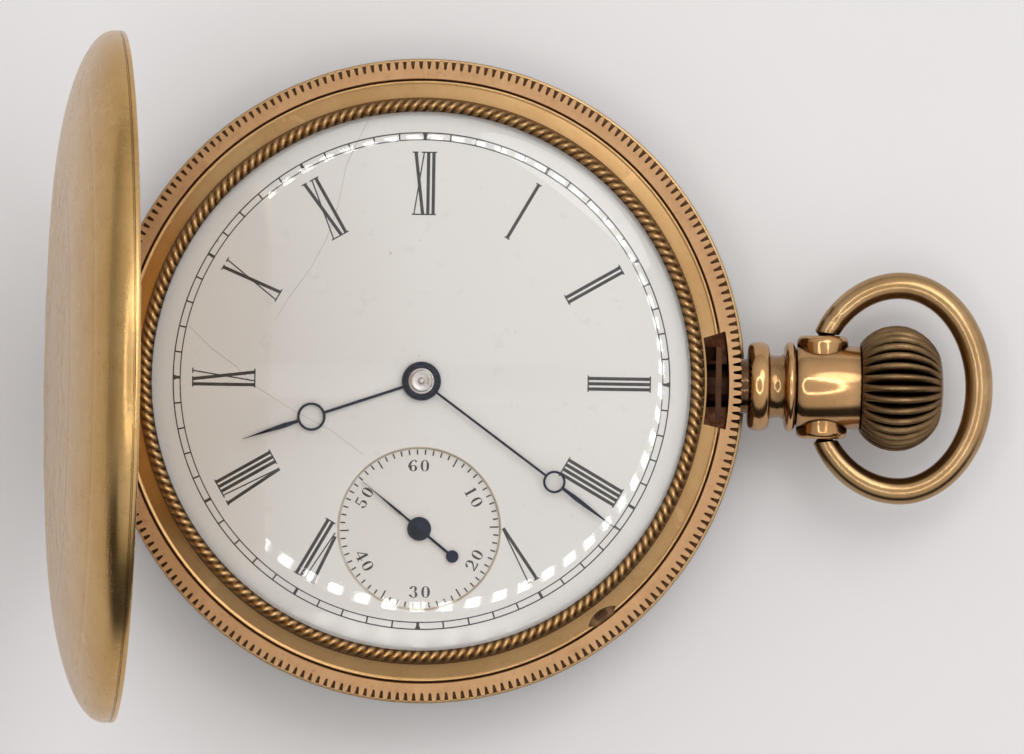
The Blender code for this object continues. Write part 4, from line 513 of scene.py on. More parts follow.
GLASS = crystal_glass()
RUBY = ruby()


# Case


def dome_height(r, radius, flat, depth, rim, crown=2.3):
    """Height of a cover's dome over its rim plane at a radius."""
    if r <= flat:
        return depth
    share = min(1.0, (r - flat) / (radius - flat))
    return rim + (depth - rim) * (1 - share**crown) ** (1 / crown)


FRONT_SHAPE = {"depth": 3.9 * MM, "flat": 9.5 * MM, "rim": 0.6 * MM, "crown": 2.0}
BACK_SHAPE = {"depth": 4.15 * MM, "flat": 6.5 * MM, "rim": 0.7 * MM, "crown": 2.3}
SCROLL_LOW, SCROLL_HIGH = 5.4 * MM, 13.4 * MM


def scrollwork(r, angle):
    """Depth of a generic engraved ring of curling leaves between the plain middle and the border rings."""
    along = (r - SCROLL_LOW) / (SCROLL_HIGH - SCROLL_LOW)
    if not 0 < along < 1:
        return 0.0
    fade = min(1.0, 8 * along, 8 * (1 - along))
    curl = abs(math.sin(7 * angle + 2.4 * math.sin(2 * math.pi * along)))
    leaf = abs(math.sin(3 * math.pi * along + 1.1 * math.cos(14 * angle)))
    vein = 0.5 + 0.5 * math.cos(56 * angle + 9 * along)
    return fade * (0.08 * (1 - curl**0.6) + 0.05 * (1 - leaf**0.6) + 0.015 * vein) * MM


def cover_shell(name, depth, flat, rim, crown):
    """A domed cover over the plane z = 0: engraved outside, plain polished inside."""
    grooves = (SCROLL_LOW / MM - 0.2, SCROLL_HIGH / MM + 0.25, 18.6)
    radii = [0, 1.5 * MM, 3 * MM, 4.4 * MM]
    count = 72
    radii += [SCROLL_LOW + (SCROLL_HIGH - SCROLL_LOW) * i / count for i in range(count + 1)]
    radii += [x * MM for x in (14.2, 14.8, 15.5, 16.2, 16.9, 17.5, 18.1)]
    cut = []
    for groove in grooves:
        radii += [(groove + x) * MM for x in (-0.1, -0.04, 0.04, 0.1)]
        cut += [(groove + x) * MM for x in (-0.04, 0.04)]
    radii += [CASE_R * x for x in (0.92, 0.94, 0.955, 0.968, 0.979, 0.987, 0.993, 0.998, 1.0)]
    radii.sort()
    outside = [(r, dome_height(r, CASE_R, flat, depth, rim, crown)) for r in radii]
    bead = [(0.0, 0.42), (0.05, 0.39), (0.05, 0.31), (0.0, 0.28), (0.0, 0.12), (0.05, 0.03), (0.14, 0.0)]
    edge = [(CASE_R - x * MM, y * MM) for x, y in bead]
    lip = [(19.4 * MM, 0), (19.4 * MM, 0.35 * MM), (20.2 * MM, 0.35 * MM)]
    inner = 20.25 * MM
    inside = [(inner * x, dome_height(inner * x, inner, flat, depth - 0.5 * MM, 0.35 * MM, crown))
              for x in (0.998, 0.985, 0.965, 0.94, 0.91, 0.87, 0.82, 0.76, 0.69, 0.61, 0.53, 0.49, 0.3, 0.15, 0)]

    def shape(row, angle, r, z):
        if row < len(radii):
            z -= 0.014 * MM if r in cut else scrollwork(r, angle)
        return r, z

    return turned(name, outside + edge + lip + inside, 480, shape, sharp=32)


def knuckle(name, radius, length, x, y, z, bevel=0.05 * MM):
    return along_y(rod(name, radius, -length / 2, length / 2, 40, bevel), x, y, z)


def make_covers():
    room, length, side = 0.65 * MM, 2.45 * MM, 2.4 * MM
    lid = cover_shell("front_cover_shell", **FRONT_SHAPE)
    lid.data.transform(Matrix.Translation((0, 0, 8.65 * MM)))
    rooms = [knuckle("room", room, length, HINGE_X, s * side, FRONT_Z, 0) for s in (-1, 1)]
    lid = weld(carve(lid, *rooms), knuckle("front_knuckle", 0.55 * MM, 2.3 * MM, HINGE_X, 0, FRONT_Z))
    lid.data.transform(FRONT_SWING)
    piece(lid, LID_GOLD, "front_cover", "gold", "front_cover")
    shell = cover_shell("back_cover_shell", **BACK_SHAPE)
    shell.data.transform(Matrix.Translation((0, 0, 4.15 * MM)) @ Matrix.Rotation(math.pi, 4, "X"))
    rooms = [knuckle("room", room, length, HINGE_X, s * side, BACK_Z, 0) for s in (-1, 1)]
    shell = weld(carve(shell, *rooms), knuckle("back_knuckle", 0.55 * MM, 2.3 * MM, HINGE_X, 0, BACK_Z))
    piece(shell, BACK_GOLD, "back_cover", "gold", "back_cover")


def catch_recess():
    """Cutter for the room of the catch, between two arcs about the case's middle."""
    outer, inner = RECESS_OUT - 0.02 * MM, 18.13 * MM
    rim = arc(0, 0, outer, -8.2, 10.2, 13) + arc(0, 0, inner, 9.6, -7.8, 13)
    return outline_object("recess", [rim], 4.75 * MM, 9.8 * MM)


def lever_slot(low, high):
    """The lens-shaped nail slot at the setting lever."""
    reach, half = 1.1 * MM, 0.42 * MM
    radius = (reach**2 + half**2) / (2 * half)
    spread = math.degrees(math.asin(reach / radius))
    outer = arc(half - radius, 0, radius, -spread, spread, 13)
    rim = outer + [(-x, -y) for x, y in outer[1:-1]]
    return outline_object("slot", [rim], low, high, 0, LEVER_ANGLE,
                          (18.85 * MM * math.cos(LEVER_ANGLE), 18.85 * MM * math.sin(LEVER_ANGLE)))


def make_band():
    """The middle of the case: a coin edge of fine notches from its flat top down to a plain flange."""
    low, high = BAND_LOW, BAND_HIGH
    coin_low = low + 0.66 * MM
    edge = 0.05 * MM
    coin = {4: edge, 5: 0.0, 6: 0.0, 7: edge}
    profile = [
        (19.2 * MM, 8.25 * MM), (19.2 * MM, high - edge), (19.25 * MM, high), (COIN_ROOT - edge, high),
        (COIN_TIP, high), (COIN_TIP, high - edge), (COIN_TIP, coin_low + edge), (COIN_TIP, coin_low),
        (COIN_ROOT - edge, coin_low), (BAND_R - edge, low + 2 * edge), (BAND_R, low + edge),
        (BAND_R - edge, low), (18.3 * MM, low), (18.3 * MM, 5.85 * MM), (16.73 * MM, 5.85 * MM),
        (16.73 * MM, 6.15 * MM), (17.58 * MM, 6.15 * MM), (17.58 * MM, 8.25 * MM),
    ]
    reach = (1, 1, 1, 1, 0.82, 0.12, 0, 0, 0.12, 0.82)
    samples = len(reach)

    def notch(row, angle, r, z):
        if row not in coin:
            return r, z
        step = round(angle / (2 * math.pi) * COIN_COUNT * samples) % samples
        return COIN_ROOT + (COIN_TIP - coin[row] - COIN_ROOT) * reach[step], z

    band = turned("case_band_ring", profile, COIN_COUNT * samples, notch, sharp=35)
    spigot = along_x(rod("spigot_room", 1.8 * MM, 19.3 * MM, 21.2 * MM, 32))
    sleeve = along_x(rod("sleeve_room", 1.46 * MM, 16.2 * MM, 19.6 * MM, 32))
    band = carve(band, catch_recess(), spigot, sleeve)
    piece(band, COIN_GOLD, "case", "gold", "case_band")
    for name, z, leaf in (("front", FRONT_Z, (8.1, 8.55)), ("back", BACK_Z, (4.25, 4.7))):
        for side in (-1, 1):
            y = side * 2.4 * MM
            hinge = knuckle(name + "_band_knuckle_" + ("a" if side < 0 else "b"), 0.55 * MM, 2.3 * MM, HINGE_X, y, z)
            plate = box("leaf", (HINGE_X + 0.3 * MM, y - 1.1 * MM, leaf[0] * MM),
                        (-19.6 * MM, y + 1.1 * MM, leaf[1] * MM))
            piece(weld(hinge, plate), COIN_GOLD, "case", "gold")
    for side in (-1, 1):
        hinge = knuckle("dust_band_knuckle_" + ("a" if side < 0 else "b"), 0.4 * MM, 1.4 * MM, DUST_X, side * 1.5 * MM,
                        DUST_Z)
        piece(hinge, COIN_GOLD, "case", "gold")


ROPE_COUNT = 187
ROPE_R = 17.54 * MM
ROPE_HALF = 0.43 * MM
ROPE_Z = 9.06 * MM


def make_bezel():
    """The bezel: twisted rope bead, hollow slope, recess at the catch and a nail slot."""
    low = 8.3 * MM
    bead = 15
    groove = 17.5 * MM
    rows = [(WINDOW_R, 8.6 * MM), (WINDOW_R, 8.73 * MM), (groove, 8.73 * MM), (groove, 9.05 * MM)]
    rope = len(rows)
    rows += [(ROPE_HALF, i / (bead - 1)) for i in range(bead)]
    slope = [i / 8 for i in range(9)]
    foot, drop = 8.55 * MM, 0.40 * MM
    lip = BEZEL_R - 0.2 * MM
    inner = ROPE_R + ROPE_HALF + 0.03 * MM
    rows += [(inner + (lip - inner) * t, foot + drop * (1 - t) ** 1.06) for t in slope]
    rows += [(BEZEL_R - x * MM, foot + z * MM) for x, z in ((0.14, 0.02), (0.08, 0.05), (0.03, 0.05), (-0.01, 0.02))]
    rows += [(BEZEL_R + 0.03 * MM, foot - 0.04 * MM), (BEZEL_R, low), (17.73 * MM, low), (17.73 * MM, 8.6 * MM)]

    def strands(row, angle, r, z):
        if not rope <= row < rope + bead:
            return r, z
        turn = math.pi * (1 - z)
        phase = ROPE_COUNT * angle + 2 * math.pi * 1.3 * z
        swell = 0.52 + 0.48 * abs(math.sin(phase / 2)) ** 0.7
        if row in (rope, rope + bead - 1):
            swell = 1.0
        return ROPE_R + r * swell * math.cos(turn), ROPE_Z + 0.45 * MM * swell * math.sin(turn)

    ring = turned("bezel_ring", rows, ROPE_COUNT * 10, strands, sharp=50)
    ring = carve(ring, catch_recess(), lever_slot(8.2 * MM, 9.6 * MM))
    piece(ring, BEZEL_GOLD, "case", "gold", "bezel")


def make_crystal():
    """The domed glass with a bevelled edge that sits in the bezel's groove."""
    edge, seat = 9.02 * MM, 8.76 * MM
    radius, inner = 17.18 * MM, 16.63 * MM
    shares = [i / 12 for i in range(8)] + [0.7 + i / 60 for i in range(15)] + [0.95, 0.965, 0.98, 0.993, 1.0]
    outside = [(radius * x, edge + dome_height(radius * x, radius, 0, 1.57 * MM, 0)) for x in shares]
    inside = [(inner * x, seat + dome_height(inner * x, inner, 0, 1.23 * MM, 0)) for x in shares]
    ring = [(17.42 * MM, edge), (17.45 * MM, edge - 0.03 * MM), (17.45 * MM, seat + 0.03 * MM), (17.42 * MM, seat)]
    glass = turned("crystal_dome", outside + ring + inside[::-1], 256)
    piece(glass, GLASS, "case", "glass", "crystal")


make_covers()
make_band()
make_bezel()
make_crystal()


# Dial


PRINT = 0.012 * MM
SUNK_R = 5.2 * MM
SUNK_Z = 8.22 * MM
NUMERAL_LOW, NUMERAL_HIGH = 10.6 * MM, 14.55 * MM
THICK, THIN = 0.105 * MM, 0.042 * MM


def prisms(name, quads, low, high):
    """One mesh of flat printed shapes, each an outline lifted from low to high."""
    points, faces = [], []
    for i, outline in enumerate(quads):
        count, start = len(outline), len(points)
        top = high - PRINT * 0.04 * (i % 5)
        points += [(x, y, low) for x, y in outline]
        points += [(x, y, top) for x, y in outline]
        faces.append([start + j for j in range(count)][::-1])
        faces.append([start + count + j for j in range(count)])
        for j in range(count):
            k = (j + 1) % count
            faces.append([start + j, start + k, start + count + k, start + count + j])
    return mesh_object(name, points, faces)


def stroke(start, end, half, half_end=None):
    """A straight stroke between two points, with its half-width at each end."""
    (x0, y0), (x1, y1) = start, end
    half_end = half if half_end is None else half_end
    length = math.hypot(x1 - x0, y1 - y0)
    nx, ny = -(y1 - y0) / length, (x1 - x0) / length
    return [(x0 + nx * half, y0 + ny * half), (x0 - nx * half, y0 - ny * half),
            (x1 - nx * half_end, y1 - ny * half_end), (x1 + nx * half_end, y1 + ny * half_end)]


def outside_sunk(start, end):
    """The end part of a stroke that lies clear of the sunk seconds dial, or None."""
    for i in range(41):
        t = i / 40
        x, y = (a + (b - a) * t for a, b in zip(start, end))
        if math.hypot(x - SECONDS_AT.x, y - SECONDS_AT.y) > SUNK_R + 0.12 * MM:
            return ((x, y), end) if t < 0.95 else None
    return None


def roman(text, hour):
    """Strokes of a Roman numeral whose foot points to the dial's middle."""
    angle = math.radians(90 - 30 * hour)
    out, right = (math.cos(angle), math.sin(angle)), (math.sin(angle), -math.cos(angle))
    advance = {"I": 0.335 * MM, "V": 0.80 * MM, "X": 0.80 * MM}
    low, high = NUMERAL_LOW, NUMERAL_HIGH
    lines = []
    u = -sum(advance[c] for c in text) / 2
    for c in text:
        width = advance[c]
        middle = u + width / 2
        left, far = u + 0.13 * MM, u + width - 0.13 * MM
        spur = 0.19 * MM
        if c == "I":
            lines.append((middle, low, middle, high, THICK))
            feet = [(middle - spur, middle + spur, v) for v in (low, high)]
        elif c == "X":
            lines.append((far - 0.03 * MM, low, left + 0.03 * MM, high, THICK))
            lines.append((left - 0.05 * MM, low, far + 0.02 * MM, high, THIN))
            feet = [(left - spur, far + spur, low), (left - spur, left + spur, high),
                    (far - spur * 0.8, far + spur, high)]
        else:
            lines.append((middle + 0.02 * MM, low, left - 0.02 * MM, high, THICK))
            lines.append((middle + 0.06 * MM, low, far + 0.02 * MM, high, THIN))
            feet = [(left - spur, left + spur, high), (far - spur * 0.8, far + spur, high)]
        lines += [(a, v, b, v, THIN) for a, b, v in feet]
        u += width
    made = []
    for u0, v0, u1, v1, half in lines:
        ends = [tuple(right[i] * u + out[i] * v for i in (0, 1)) for u, v in ((u0, v0), (u1, v1))]
        kept = outside_sunk(*ends)
        if kept:
            made.append(stroke(*kept, half))
    return made


def spoke(angle, inner, outer, half, centre=(0.0, 0.0)):
    x, y = math.cos(angle), math.sin(angle)
    return stroke((centre[0] + x * inner, centre[1] + y * inner), (centre[0] + x * outer, centre[1] + y * outer), half)


def ring_print(name, radius, half, z, centre, material, steps=240):
    ring = outline_object(name, [circle(radius + half, steps), circle(radius - half, steps)], z, z + PRINT,
                          at=centre)
    return piece(ring, material, "case", "enamel")


DIGITS = {
    "0": [("ring", 0.0, 0.5, 0.25, 0.455, 0.0, 360.0)],
    "1": [("line", (-0.14, 0.80, 0.3), (0.0, 0.92, 0.5)), ("line", (0.0, 0.96, 1.0), (0.0, 0.04, 1.0)),
          ("line", (-0.17, 0.035, 0.35), (0.17, 0.035, 0.35))],
    "2": [("ring", 0.0, 0.72, 0.22, 0.24, 170.0, -20.0), ("dot", -0.19, 0.72),
          ("line", (0.215, 0.66, 1.0), (0.12, 0.42, 0.7), (-0.22, 0.06, 0.4)),
          ("line", (-0.24, 0.07, 0.5), (0.05, 0.07, 0.8), (0.24, 0.06, 0.6), (0.25, 0.22, 0.3))],
    "3": [("ring", -0.01, 0.74, 0.20, 0.22, 160.0, -80.0), ("ring", -0.01, 0.28, 0.235, 0.245, 85.0, -160.0),
          ("dot", -0.18, 0.78), ("dot", -0.21, 0.22)],
    "4": [("line", (0.10, 0.96, 0.4), (-0.27, 0.30, 0.4)), ("line", (-0.28, 0.29, 0.4), (0.28, 0.29, 0.4)),
          ("line", (0.10, 0.96, 1.0), (0.10, 0.04, 1.0)), ("line", (-0.05, 0.035, 0.35), (0.25, 0.035, 0.35))],
    "5": [("ring", -0.02, 0.31, 0.24, 0.27, 120.0, -155.0), ("line", (-0.17, 0.48, 0.4), (-0.15, 0.94, 0.4)),
          ("line", (-0.15, 0.92, 0.8), (0.05, 0.90, 0.9), (0.20, 0.95, 0.4)), ("dot", -0.2, 0.25)],
    "6": [("ring", 0.02, 0.29, 0.23, 0.25, 0.0, 360.0), ("line", (-0.22, 0.34, 1.0), (-0.18, 0.62, 1.0),
          (-0.05, 0.86, 0.6), (0.12, 0.955, 0.35), (0.20, 0.86, 0.4)), ("dot", 0.18, 0.83)],
}


def digit_outlines(digit):
    """Flat shapes of one figure, one unit high, with thick upright and thin level strokes."""
    thick, thin = 0.072, 0.024
    shapes = []
    for kind, *values in DIGITS[digit]:
        if kind == "dot":
            shapes.append(circle(0.068, 14, *values))
            continue
        if kind == "ring":
            x, y, wide, high, start, end = values
            count = 40
            line = []
            for i in range(count + 1):
                angle = math.radians(start + (end - start) * i / count)
                half = thin + (thick - thin) * abs(math.cos(angle)) ** 1.5
                line.append((x + (wide - half) * math.cos(angle), y + (high - thin) * math.sin(angle), half))
        else:
            line = [(x, y, thick * share) for x, y, share in values]
        for (x0, y0, half), (x1, y1, half_end) in zip(line, line[1:]):
            shapes.append(stroke((x0, y0), (x1, y1), half, half_end))
    return shapes


def figures(text, x, y, turn, height):
    """Outlines of a printed number about its middle."""
    made = []
    for i, digit in enumerate(text):
        across = (i - (len(text) - 1) / 2) * 0.95
        for shape in digit_outlines(digit):
            spot = []
            for u, v in shape:
                u, v = (1.35 * u + across) * height, (v - 0.5) * height
                spot.append((x + u * math.cos(turn) - v * math.sin(turn), y + u * math.sin(turn) + v * math.cos(turn)))
            made.append(spot)
    return made


def crack_line(*points):
    """A thin wandering line through points on the dial, in millimetres."""
    quads = []
    for i, ((x0, y0), (x1, y1)) in enumerate(zip(points, points[1:])):
        half = (0.018 + 0.006 * (i % 2)) * MM
        quads.append(stroke((x0 * MM, y0 * MM), (x1 * MM, y1 * MM), half))
    return quads


def make_dial():
    sunk = (SECONDS_AT.x, SECONDS_AT.y)
    plate = outline_object("dial_plate", [circle(DIAL_R, 256), circle(SUNK_R, 160, *sunk), circle(1.15 * MM, 48)],
                           DIAL_Z - 0.4 * MM, DIAL_Z, 0.04 * MM)
    piece(plate, ENAMEL, "case", "enamel", "dial")
    hole = 0.4 * MM
    cup = [(SUNK_R - 0.06 * MM, SUNK_Z), (hole, SUNK_Z), (hole, SUNK_Z - 0.2 * MM), (SUNK_R - 0.02 * MM, SUNK_Z - 0.2 * MM)]
    small = turned("seconds_dial_plate", cup, 160)
    small.data.transform(Matrix.Translation(SECONDS_AT))
    piece(small, SUNK_ENAMEL, "case", "enamel", "seconds_dial")
    lip = [(SUNK_R + 0.03 * MM, DIAL_Z + 0.004 * MM), (SUNK_R - 0.03 * MM, DIAL_Z - 0.01 * MM),
           (SUNK_R - 0.1 * MM, SUNK_Z + 0.03 * MM), (SUNK_R - 0.12 * MM, SUNK_Z + 0.004 * MM),
           (SUNK_R - 0.02 * MM, SUNK_Z + 0.002 * MM), (SUNK_R + 0.03 * MM, SUNK_Z + 0.1 * MM)]
    rim = turned("seconds_dial_edge", lip, 200)
    rim.data.transform(Matrix.Translation(SECONDS_AT))
    # painted shade: the lip round the sunk seconds dial in tan
    piece(rim, SUNK_SHADE_AND_SPECK, "case", "enamel")
    hours = []
    for hour, text in enumerate(("I", "II", "III", "IIII", "V", "", "VII", "VIII", "IX", "X", "XI", "XII"), 1):
        hours += roman(text, hour)
    piece(prisms("hour_numerals", hours, DIAL_Z - 0.01 * MM, DIAL_Z + PRINT), INK, "case", "enamel")
    ring_print("minute_track_inner", 15.35 * MM, 0.036 * MM, DIAL_Z - 0.002 * MM, (0, 0), INK, 360)
    ring_print("minute_track_outer", 15.79 * MM, 0.04 * MM, DIAL_Z - 0.002 * MM, (0, 0), INK, 360)
    ticks = []
    for minute in range(60):
        angle = 2 * math.pi * minute / 60
        ticks.append(spoke(angle, 15.36 * MM, 15.78 * MM, (0.05 if minute % 5 else 0.095) * MM))
        if minute % 15 == 0:
            x, y = math.cos(angle), math.sin(angle)
            point = (x * 15.35 * MM, y * 15.35 * MM)
            wide = 0.2 * MM
            ticks.append([point, (x * 15.8 * MM + y * wide, y * 15.8 * MM - x * wide),
                          (x * 15.8 * MM - y * wide, y * 15.8 * MM + x * wide)])
    piece(prisms("minute_ticks", ticks, DIAL_Z - 0.01 * MM, DIAL_Z + PRINT), INK, "case", "enamel")
    ticks = []
    for second in range(60):
        angle = math.radians(90 + 2.2 - 6 * second)
        ticks.append(spoke(angle, (4.48 if second % 10 == 5 else 4.72) * MM, 5.05 * MM, 0.047 * MM, sunk))
    for second, turn in ((60, 0), (10, -60), (20, 60), (30, 0), (40, -60), (50, 60)):
        angle = math.radians(90 + 1.2 - 6 * second)
        ticks += figures(str(second), sunk[0] + 4.02 * MM * math.cos(angle), sunk[1] + 4.02 * MM * math.sin(angle),
                         math.radians(turn), 0.80 * MM)
    piece(prisms("seconds_print", ticks, SUNK_Z - 0.01 * MM, SUNK_Z + PRINT), INK, "case", "enamel")
    cracks = crack_line((-14.85, 3.3), (-13.4, 1.9), (-11.8, 0.75), (-10.7, -0.4), (-9.35, -1.25), (-8.0, -2.05),
                        (-5.75, -3.2), (-3.6, -4.75))
    cracks += crack_line((-3.55, 16.7), (-4.3, 15.2), (-5.0, 13.6), (-5.5, 11.0), (-6.2, 8.9), (-7.2, 7.0),
                         (-8.5, 5.2), (-9.4, 3.7))
    piece(prisms("dial_hairlines", cracks, DIAL_Z - 0.01 * MM, DIAL_Z + 0.002 * MM), CRACK, "case", "enamel")
    spots = [circle(r * MM, 10, x * MM, y * MM) for x, y, r in (
        (-2.1, 8.1, 0.10), (-0.2, 8.95, 0.05), (-0.2, 1.6, 0.05), (-13.1, 8.7, 0.09), (5.9, 3.2, 0.045),
        (9.7, -8.4, 0.05), (-6.4, -9.9, 0.06), (3.6, 12.3, 0.045), (-9.2, 12.6, 0.05), (12.4, 5.3, 0.05))]
    # the same tan as the lip, here for real specks on the dial
    piece(prisms("dial_specks", spots, DIAL_Z - 0.01 * MM, DIAL_Z + 0.003 * MM), SUNK_SHADE_AND_SPECK, "case", "enamel")


# A clouded tan: painted shade on the sunk seconds dial's lip, and real stains for the dial's specks
def stained(name, base, darker):
    s = Shader(name)
    s.colour(s.mix(s.ramp(s.noise(1.5 * MM, 4, 0.6), (0.35, 0.0), (0.7, 1.0)), base, darker))
    s.rough(s.noise(0.4 * MM, 3), 0.35, 0.55)
    return s.material


SUNK_SHADE_AND_SPECK = stained("sunk_shade_and_speck_tan", (0.60, 0.54, 0.45), (0.45, 0.36, 0.26))
make_dial()


# Hands


def hand_shape(lobes, widths, length, tip):
    """A hand along +X: round lobes joined by a tapering stem, ending in a slim leaf."""
    half = []
    for i, (x, radius) in enumerate(lobes):
        near = math.degrees(math.asin(widths[i - 1] / radius)) if i else 0
        far = math.degrees(math.asin(widths[i] / radius))
        half += arc(x, 0, radius, 180 - near, far, 25)
    start = lobes[-1][0] + lobes[-1][1]
    for t, swell in ((0.12, 0.8), (0.24, 1.0), (0.4, 0.86), (0.6, 0.56), (0.8, 0.28), (1.0, 0.06)):
        half.append((start + (length - start) * t, tip * swell))
    return half + [(x, -y) for x, y in half[::-1] if y > 1e-9]


def make_hands():
    flat = 0.12 * MM
    for name, body, node, at, ring, length, hub, bore, low, stem, clock in (
        ("hour_moon_hand", "hour", "hour_hand", 7.35, 0.9, 11.95, 1.24, 1.02, 8.66, 0.088, 251.2),
        ("minute_moon_hand", "minute", "minute_hand", 10.6, 0.72, 15.65, 1.18, 0.74, 8.92, 0.078, 126.3),
    ):
        rim = hand_shape([(0, hub * MM), (at * MM, ring * MM)], [stem * MM, 0.1 * MM], length * MM, 0.15 * MM)
        eye = circle((ring - 0.155) * MM, 40, at * MM)
        hand = outline_object(name, [rim, circle(bore * MM, 40), eye], low * MM, low * MM + flat, 0.025 * MM,
                              math.radians(90 - clock))
        piece(hand, BLUED, body, "blued", node)
    rim = hand_shape([(-2.74 * MM, 0.40 * MM), (0, 0.76 * MM)], [0.085 * MM, 0.085 * MM], 4.66 * MM, 0.085 * MM)
    hand = outline_object("small_seconds_hand", [rim, circle(0.15 * MM, 24)], 8.40 * MM, 8.40 * MM + flat,
                          0.025 * MM, math.radians(90 - 309), (SECONDS_AT.x, SECONDS_AT.y))
    piece(hand, BLUED, "fourth", "blued", "seconds_hand")
    collar = [(0.86, 9.03), (0.86, 9.13), (0.92, 9.16), (1.02, 9.14), (1.12, 9.09), (1.16, 9.03)]
    piece(turned("minute_collet", [(r * MM, z * MM) for r, z in collar], 64), BLUED, "minute", "blued")
    cap = [(0, 9.25), (0.1, 9.245), (0.17, 9.22), (0.2, 9.175), (0.46, 9.17), (0.52, 9.20), (0.6, 9.21), (0.66, 9.19),
           (0.69, 9.15), (0.76, 9.15), (0.82, 9.13), (0.84, 9.10), (0.7, 9.10), (0, 9.11)]
    piece(turned("cannon_cap", [(r * MM, z * MM) for r, z in cap], 64), DULL_STEEL, "minute", "steel")
    boss = [(0, 8.60), (0.12, 8.59), (0.16, 8.56), (0.42, 8.56), (0.5, 8.53), (0.52, 8.50), (0, 8.50)]
    small = turned("seconds_boss", [(r * MM, z * MM) for r, z in boss], 48)
    small.data.transform(Matrix.Translation(SECONDS_AT))
    piece(small, BLUED, "fourth", "blued")


make_hands()


# Pendant, bow and crown


def bead_rows(inner, outer, low, high, count=9):
    """A half-round bead on a neck, between two places along it."""
    rows = []
    for i in range(count):
        angle = math.pi * i / (count - 1)
        rows.append((inner + (outer - inner) * math.sin(angle) ** 0.8,
                     (low + high) / 2 - (high - low) / 2 * math.cos(angle)))
    return rows


def make_pendant():
    rows = [(1.48, 19.6), (1.75, 19.6), (1.75, 20.83)]
    rows += [(2.3, 20.83)] + bead_rows(2.42, 2.87, 20.84, 22.2)
    rows += [(2.06, 22.26), (1.98, 22.5), (1.98, 22.9), (2.1, 23.13)]
    rows += bead_rows(2.3, 2.9, 23.16, 23.88)
    rows += [(2.55, 23.95), (2.66, 24.2), (2.68, 24.6), (2.68, 28.25), (2.6, 28.38), (2.5, 28.4), (1.48, 28.4)]
    neck = along_x(turned("pendant_neck", [(r * MM, x * MM) for r, x in rows], 96, sharp=45))
    ears, sockets = [], []
    for side in (-1, 1):
        rows = [(0, 3.3), (1.25, 3.3), (1.48, 3.22), (1.61, 3.06), (1.65, 2.85), (1.65, 2.0), (0, 2.0)]
        ear = turned("ear", [(r * MM, y * MM) for r, y in rows], 48)
        ear.data.transform(Matrix.Translation((25.61 * MM, 0, PENDANT_Z)) @ Matrix.Rotation(-side * math.pi / 2, 4, "X"))
        ears.append(ear)
        sockets.append(along_y(rod("socket", 0.48 * MM, side * 3.1 * MM - 0.4 * MM, side * 3.1 * MM + 0.4 * MM, 24),
                               26.01 * MM, 0, PENDANT_Z))
    neck = carve(weld(neck, *ears), *sockets)
    piece(neck, PENDANT_GOLD, "case", "worn_gold", "pendant")


def make_bow():
    """An oval ring of round wire, thicker at its far side, with a pin turned in at each ear."""
    ends = math.radians(148)
    path = [(0.0, 2.887, 0.45), (-0.02, 3.1, 0.45), (-0.08, 3.24, 0.46)]
    count = 90
    for i in range(count + 1):
        angle = ends - 2 * ends * i / count
        away = abs(angle) / ends
        wide = 5.1 if abs(angle) < math.pi / 2 else 5.55
        path.append((4.55 + wide * math.cos(angle), 6.58 * math.sin(angle), 0.88 - 0.12 * away**3))
    path += [(x, -y, r) for x, y, r in path[2::-1]]
    rings = []
    for i, (x, y, radius) in enumerate(path):
        before, after = path[max(0, i - 1)], path[min(len(path) - 1, i + 1)]
        dx, dy = after[0] - before[0], after[1] - before[1]
        long = math.hypot(dx, dy)
        side = (-dy / long, dx / long)
        dent = 0.07 * math.exp(-((i - 6) / 0.6) ** 2)
        ring = []
        for j in range(28):
            turn = 2 * math.pi * j / 28
            push = radius * (1 - dent * max(0.0, math.sin(turn)) * 2.2)
            across = push * math.cos(turn)
            ring.append(((26.01 + x + side[0] * across) * MM, (y + side[1] * across) * MM,
                         PENDANT_Z + push * math.sin(turn) * MM))
        rings.append(ring)
    first = [tuple(sum(p[k] for p in rings[0]) / len(rings[0]) for k in range(3))]
    last = [tuple(sum(p[k] for p in rings[-1]) / len(rings[-1]) for k in range(3))]
    points, faces = loft([first] + rings + [last])
    piece(mesh_object("bow_ring", points, faces), BOW_GOLD, "bow", "gold", "bow")


def make_crown():
    """The onion crown: rounded ribs with deep flutes and a smooth button at its end."""
    flutes, samples = 32, 12
    start, length, radius = 28.05 * MM, 5.3 * MM, 4.03 * MM
    shape = ((0.0, 0.715), (0.03, 0.765), (0.08, 0.83), (0.16, 0.905), (0.26, 0.965), (0.36, 0.993), (0.45, 1.0),
             (0.55, 0.985), (0.65, 0.94), (0.74, 0.875), (0.82, 0.79), (0.885, 0.695), (0.935, 0.59))
    rows = [(radius * r, start + length * t) for t, r in shape]
    ribbed = len(rows) - 1
    rows += [(radius * r, start + length * t) for t, r in ((0.955, 0.53), (0.975, 0.44), (0.99, 0.31), (0.998, 0.16))]
    rows += [(0, start + length)]
    hollow = [(0, start + 1.25 * MM), (2.7 * MM, start + 1.25 * MM), (2.77 * MM, start + 1.15 * MM),
              (2.77 * MM, start + 0.04 * MM), (2.8 * MM, start)]

    def flute(row, angle, r, z):
        row -= len(hollow)
        if 0 <= row <= ribbed:
            deep = (0.1, 0.3, 0.65, 0.95, 1, 1, 1, 1, 1, 0.95, 0.85, 0.65, 0.35)[row]
            r -= 0.52 * MM * deep * (1 - abs(math.cos(flutes * angle / 2)) ** 0.75)
        return r, z

    knob = along_x(turned("onion_crown", hollow + rows, flutes * samples, flute, sharp=60))
    piece(knob, CROWN_GOLD, "crown", "worn_gold", "crown")


make_pendant()
make_bow()
make_crown()


# Springs, dust cover and the pieces that keep their CAD shape


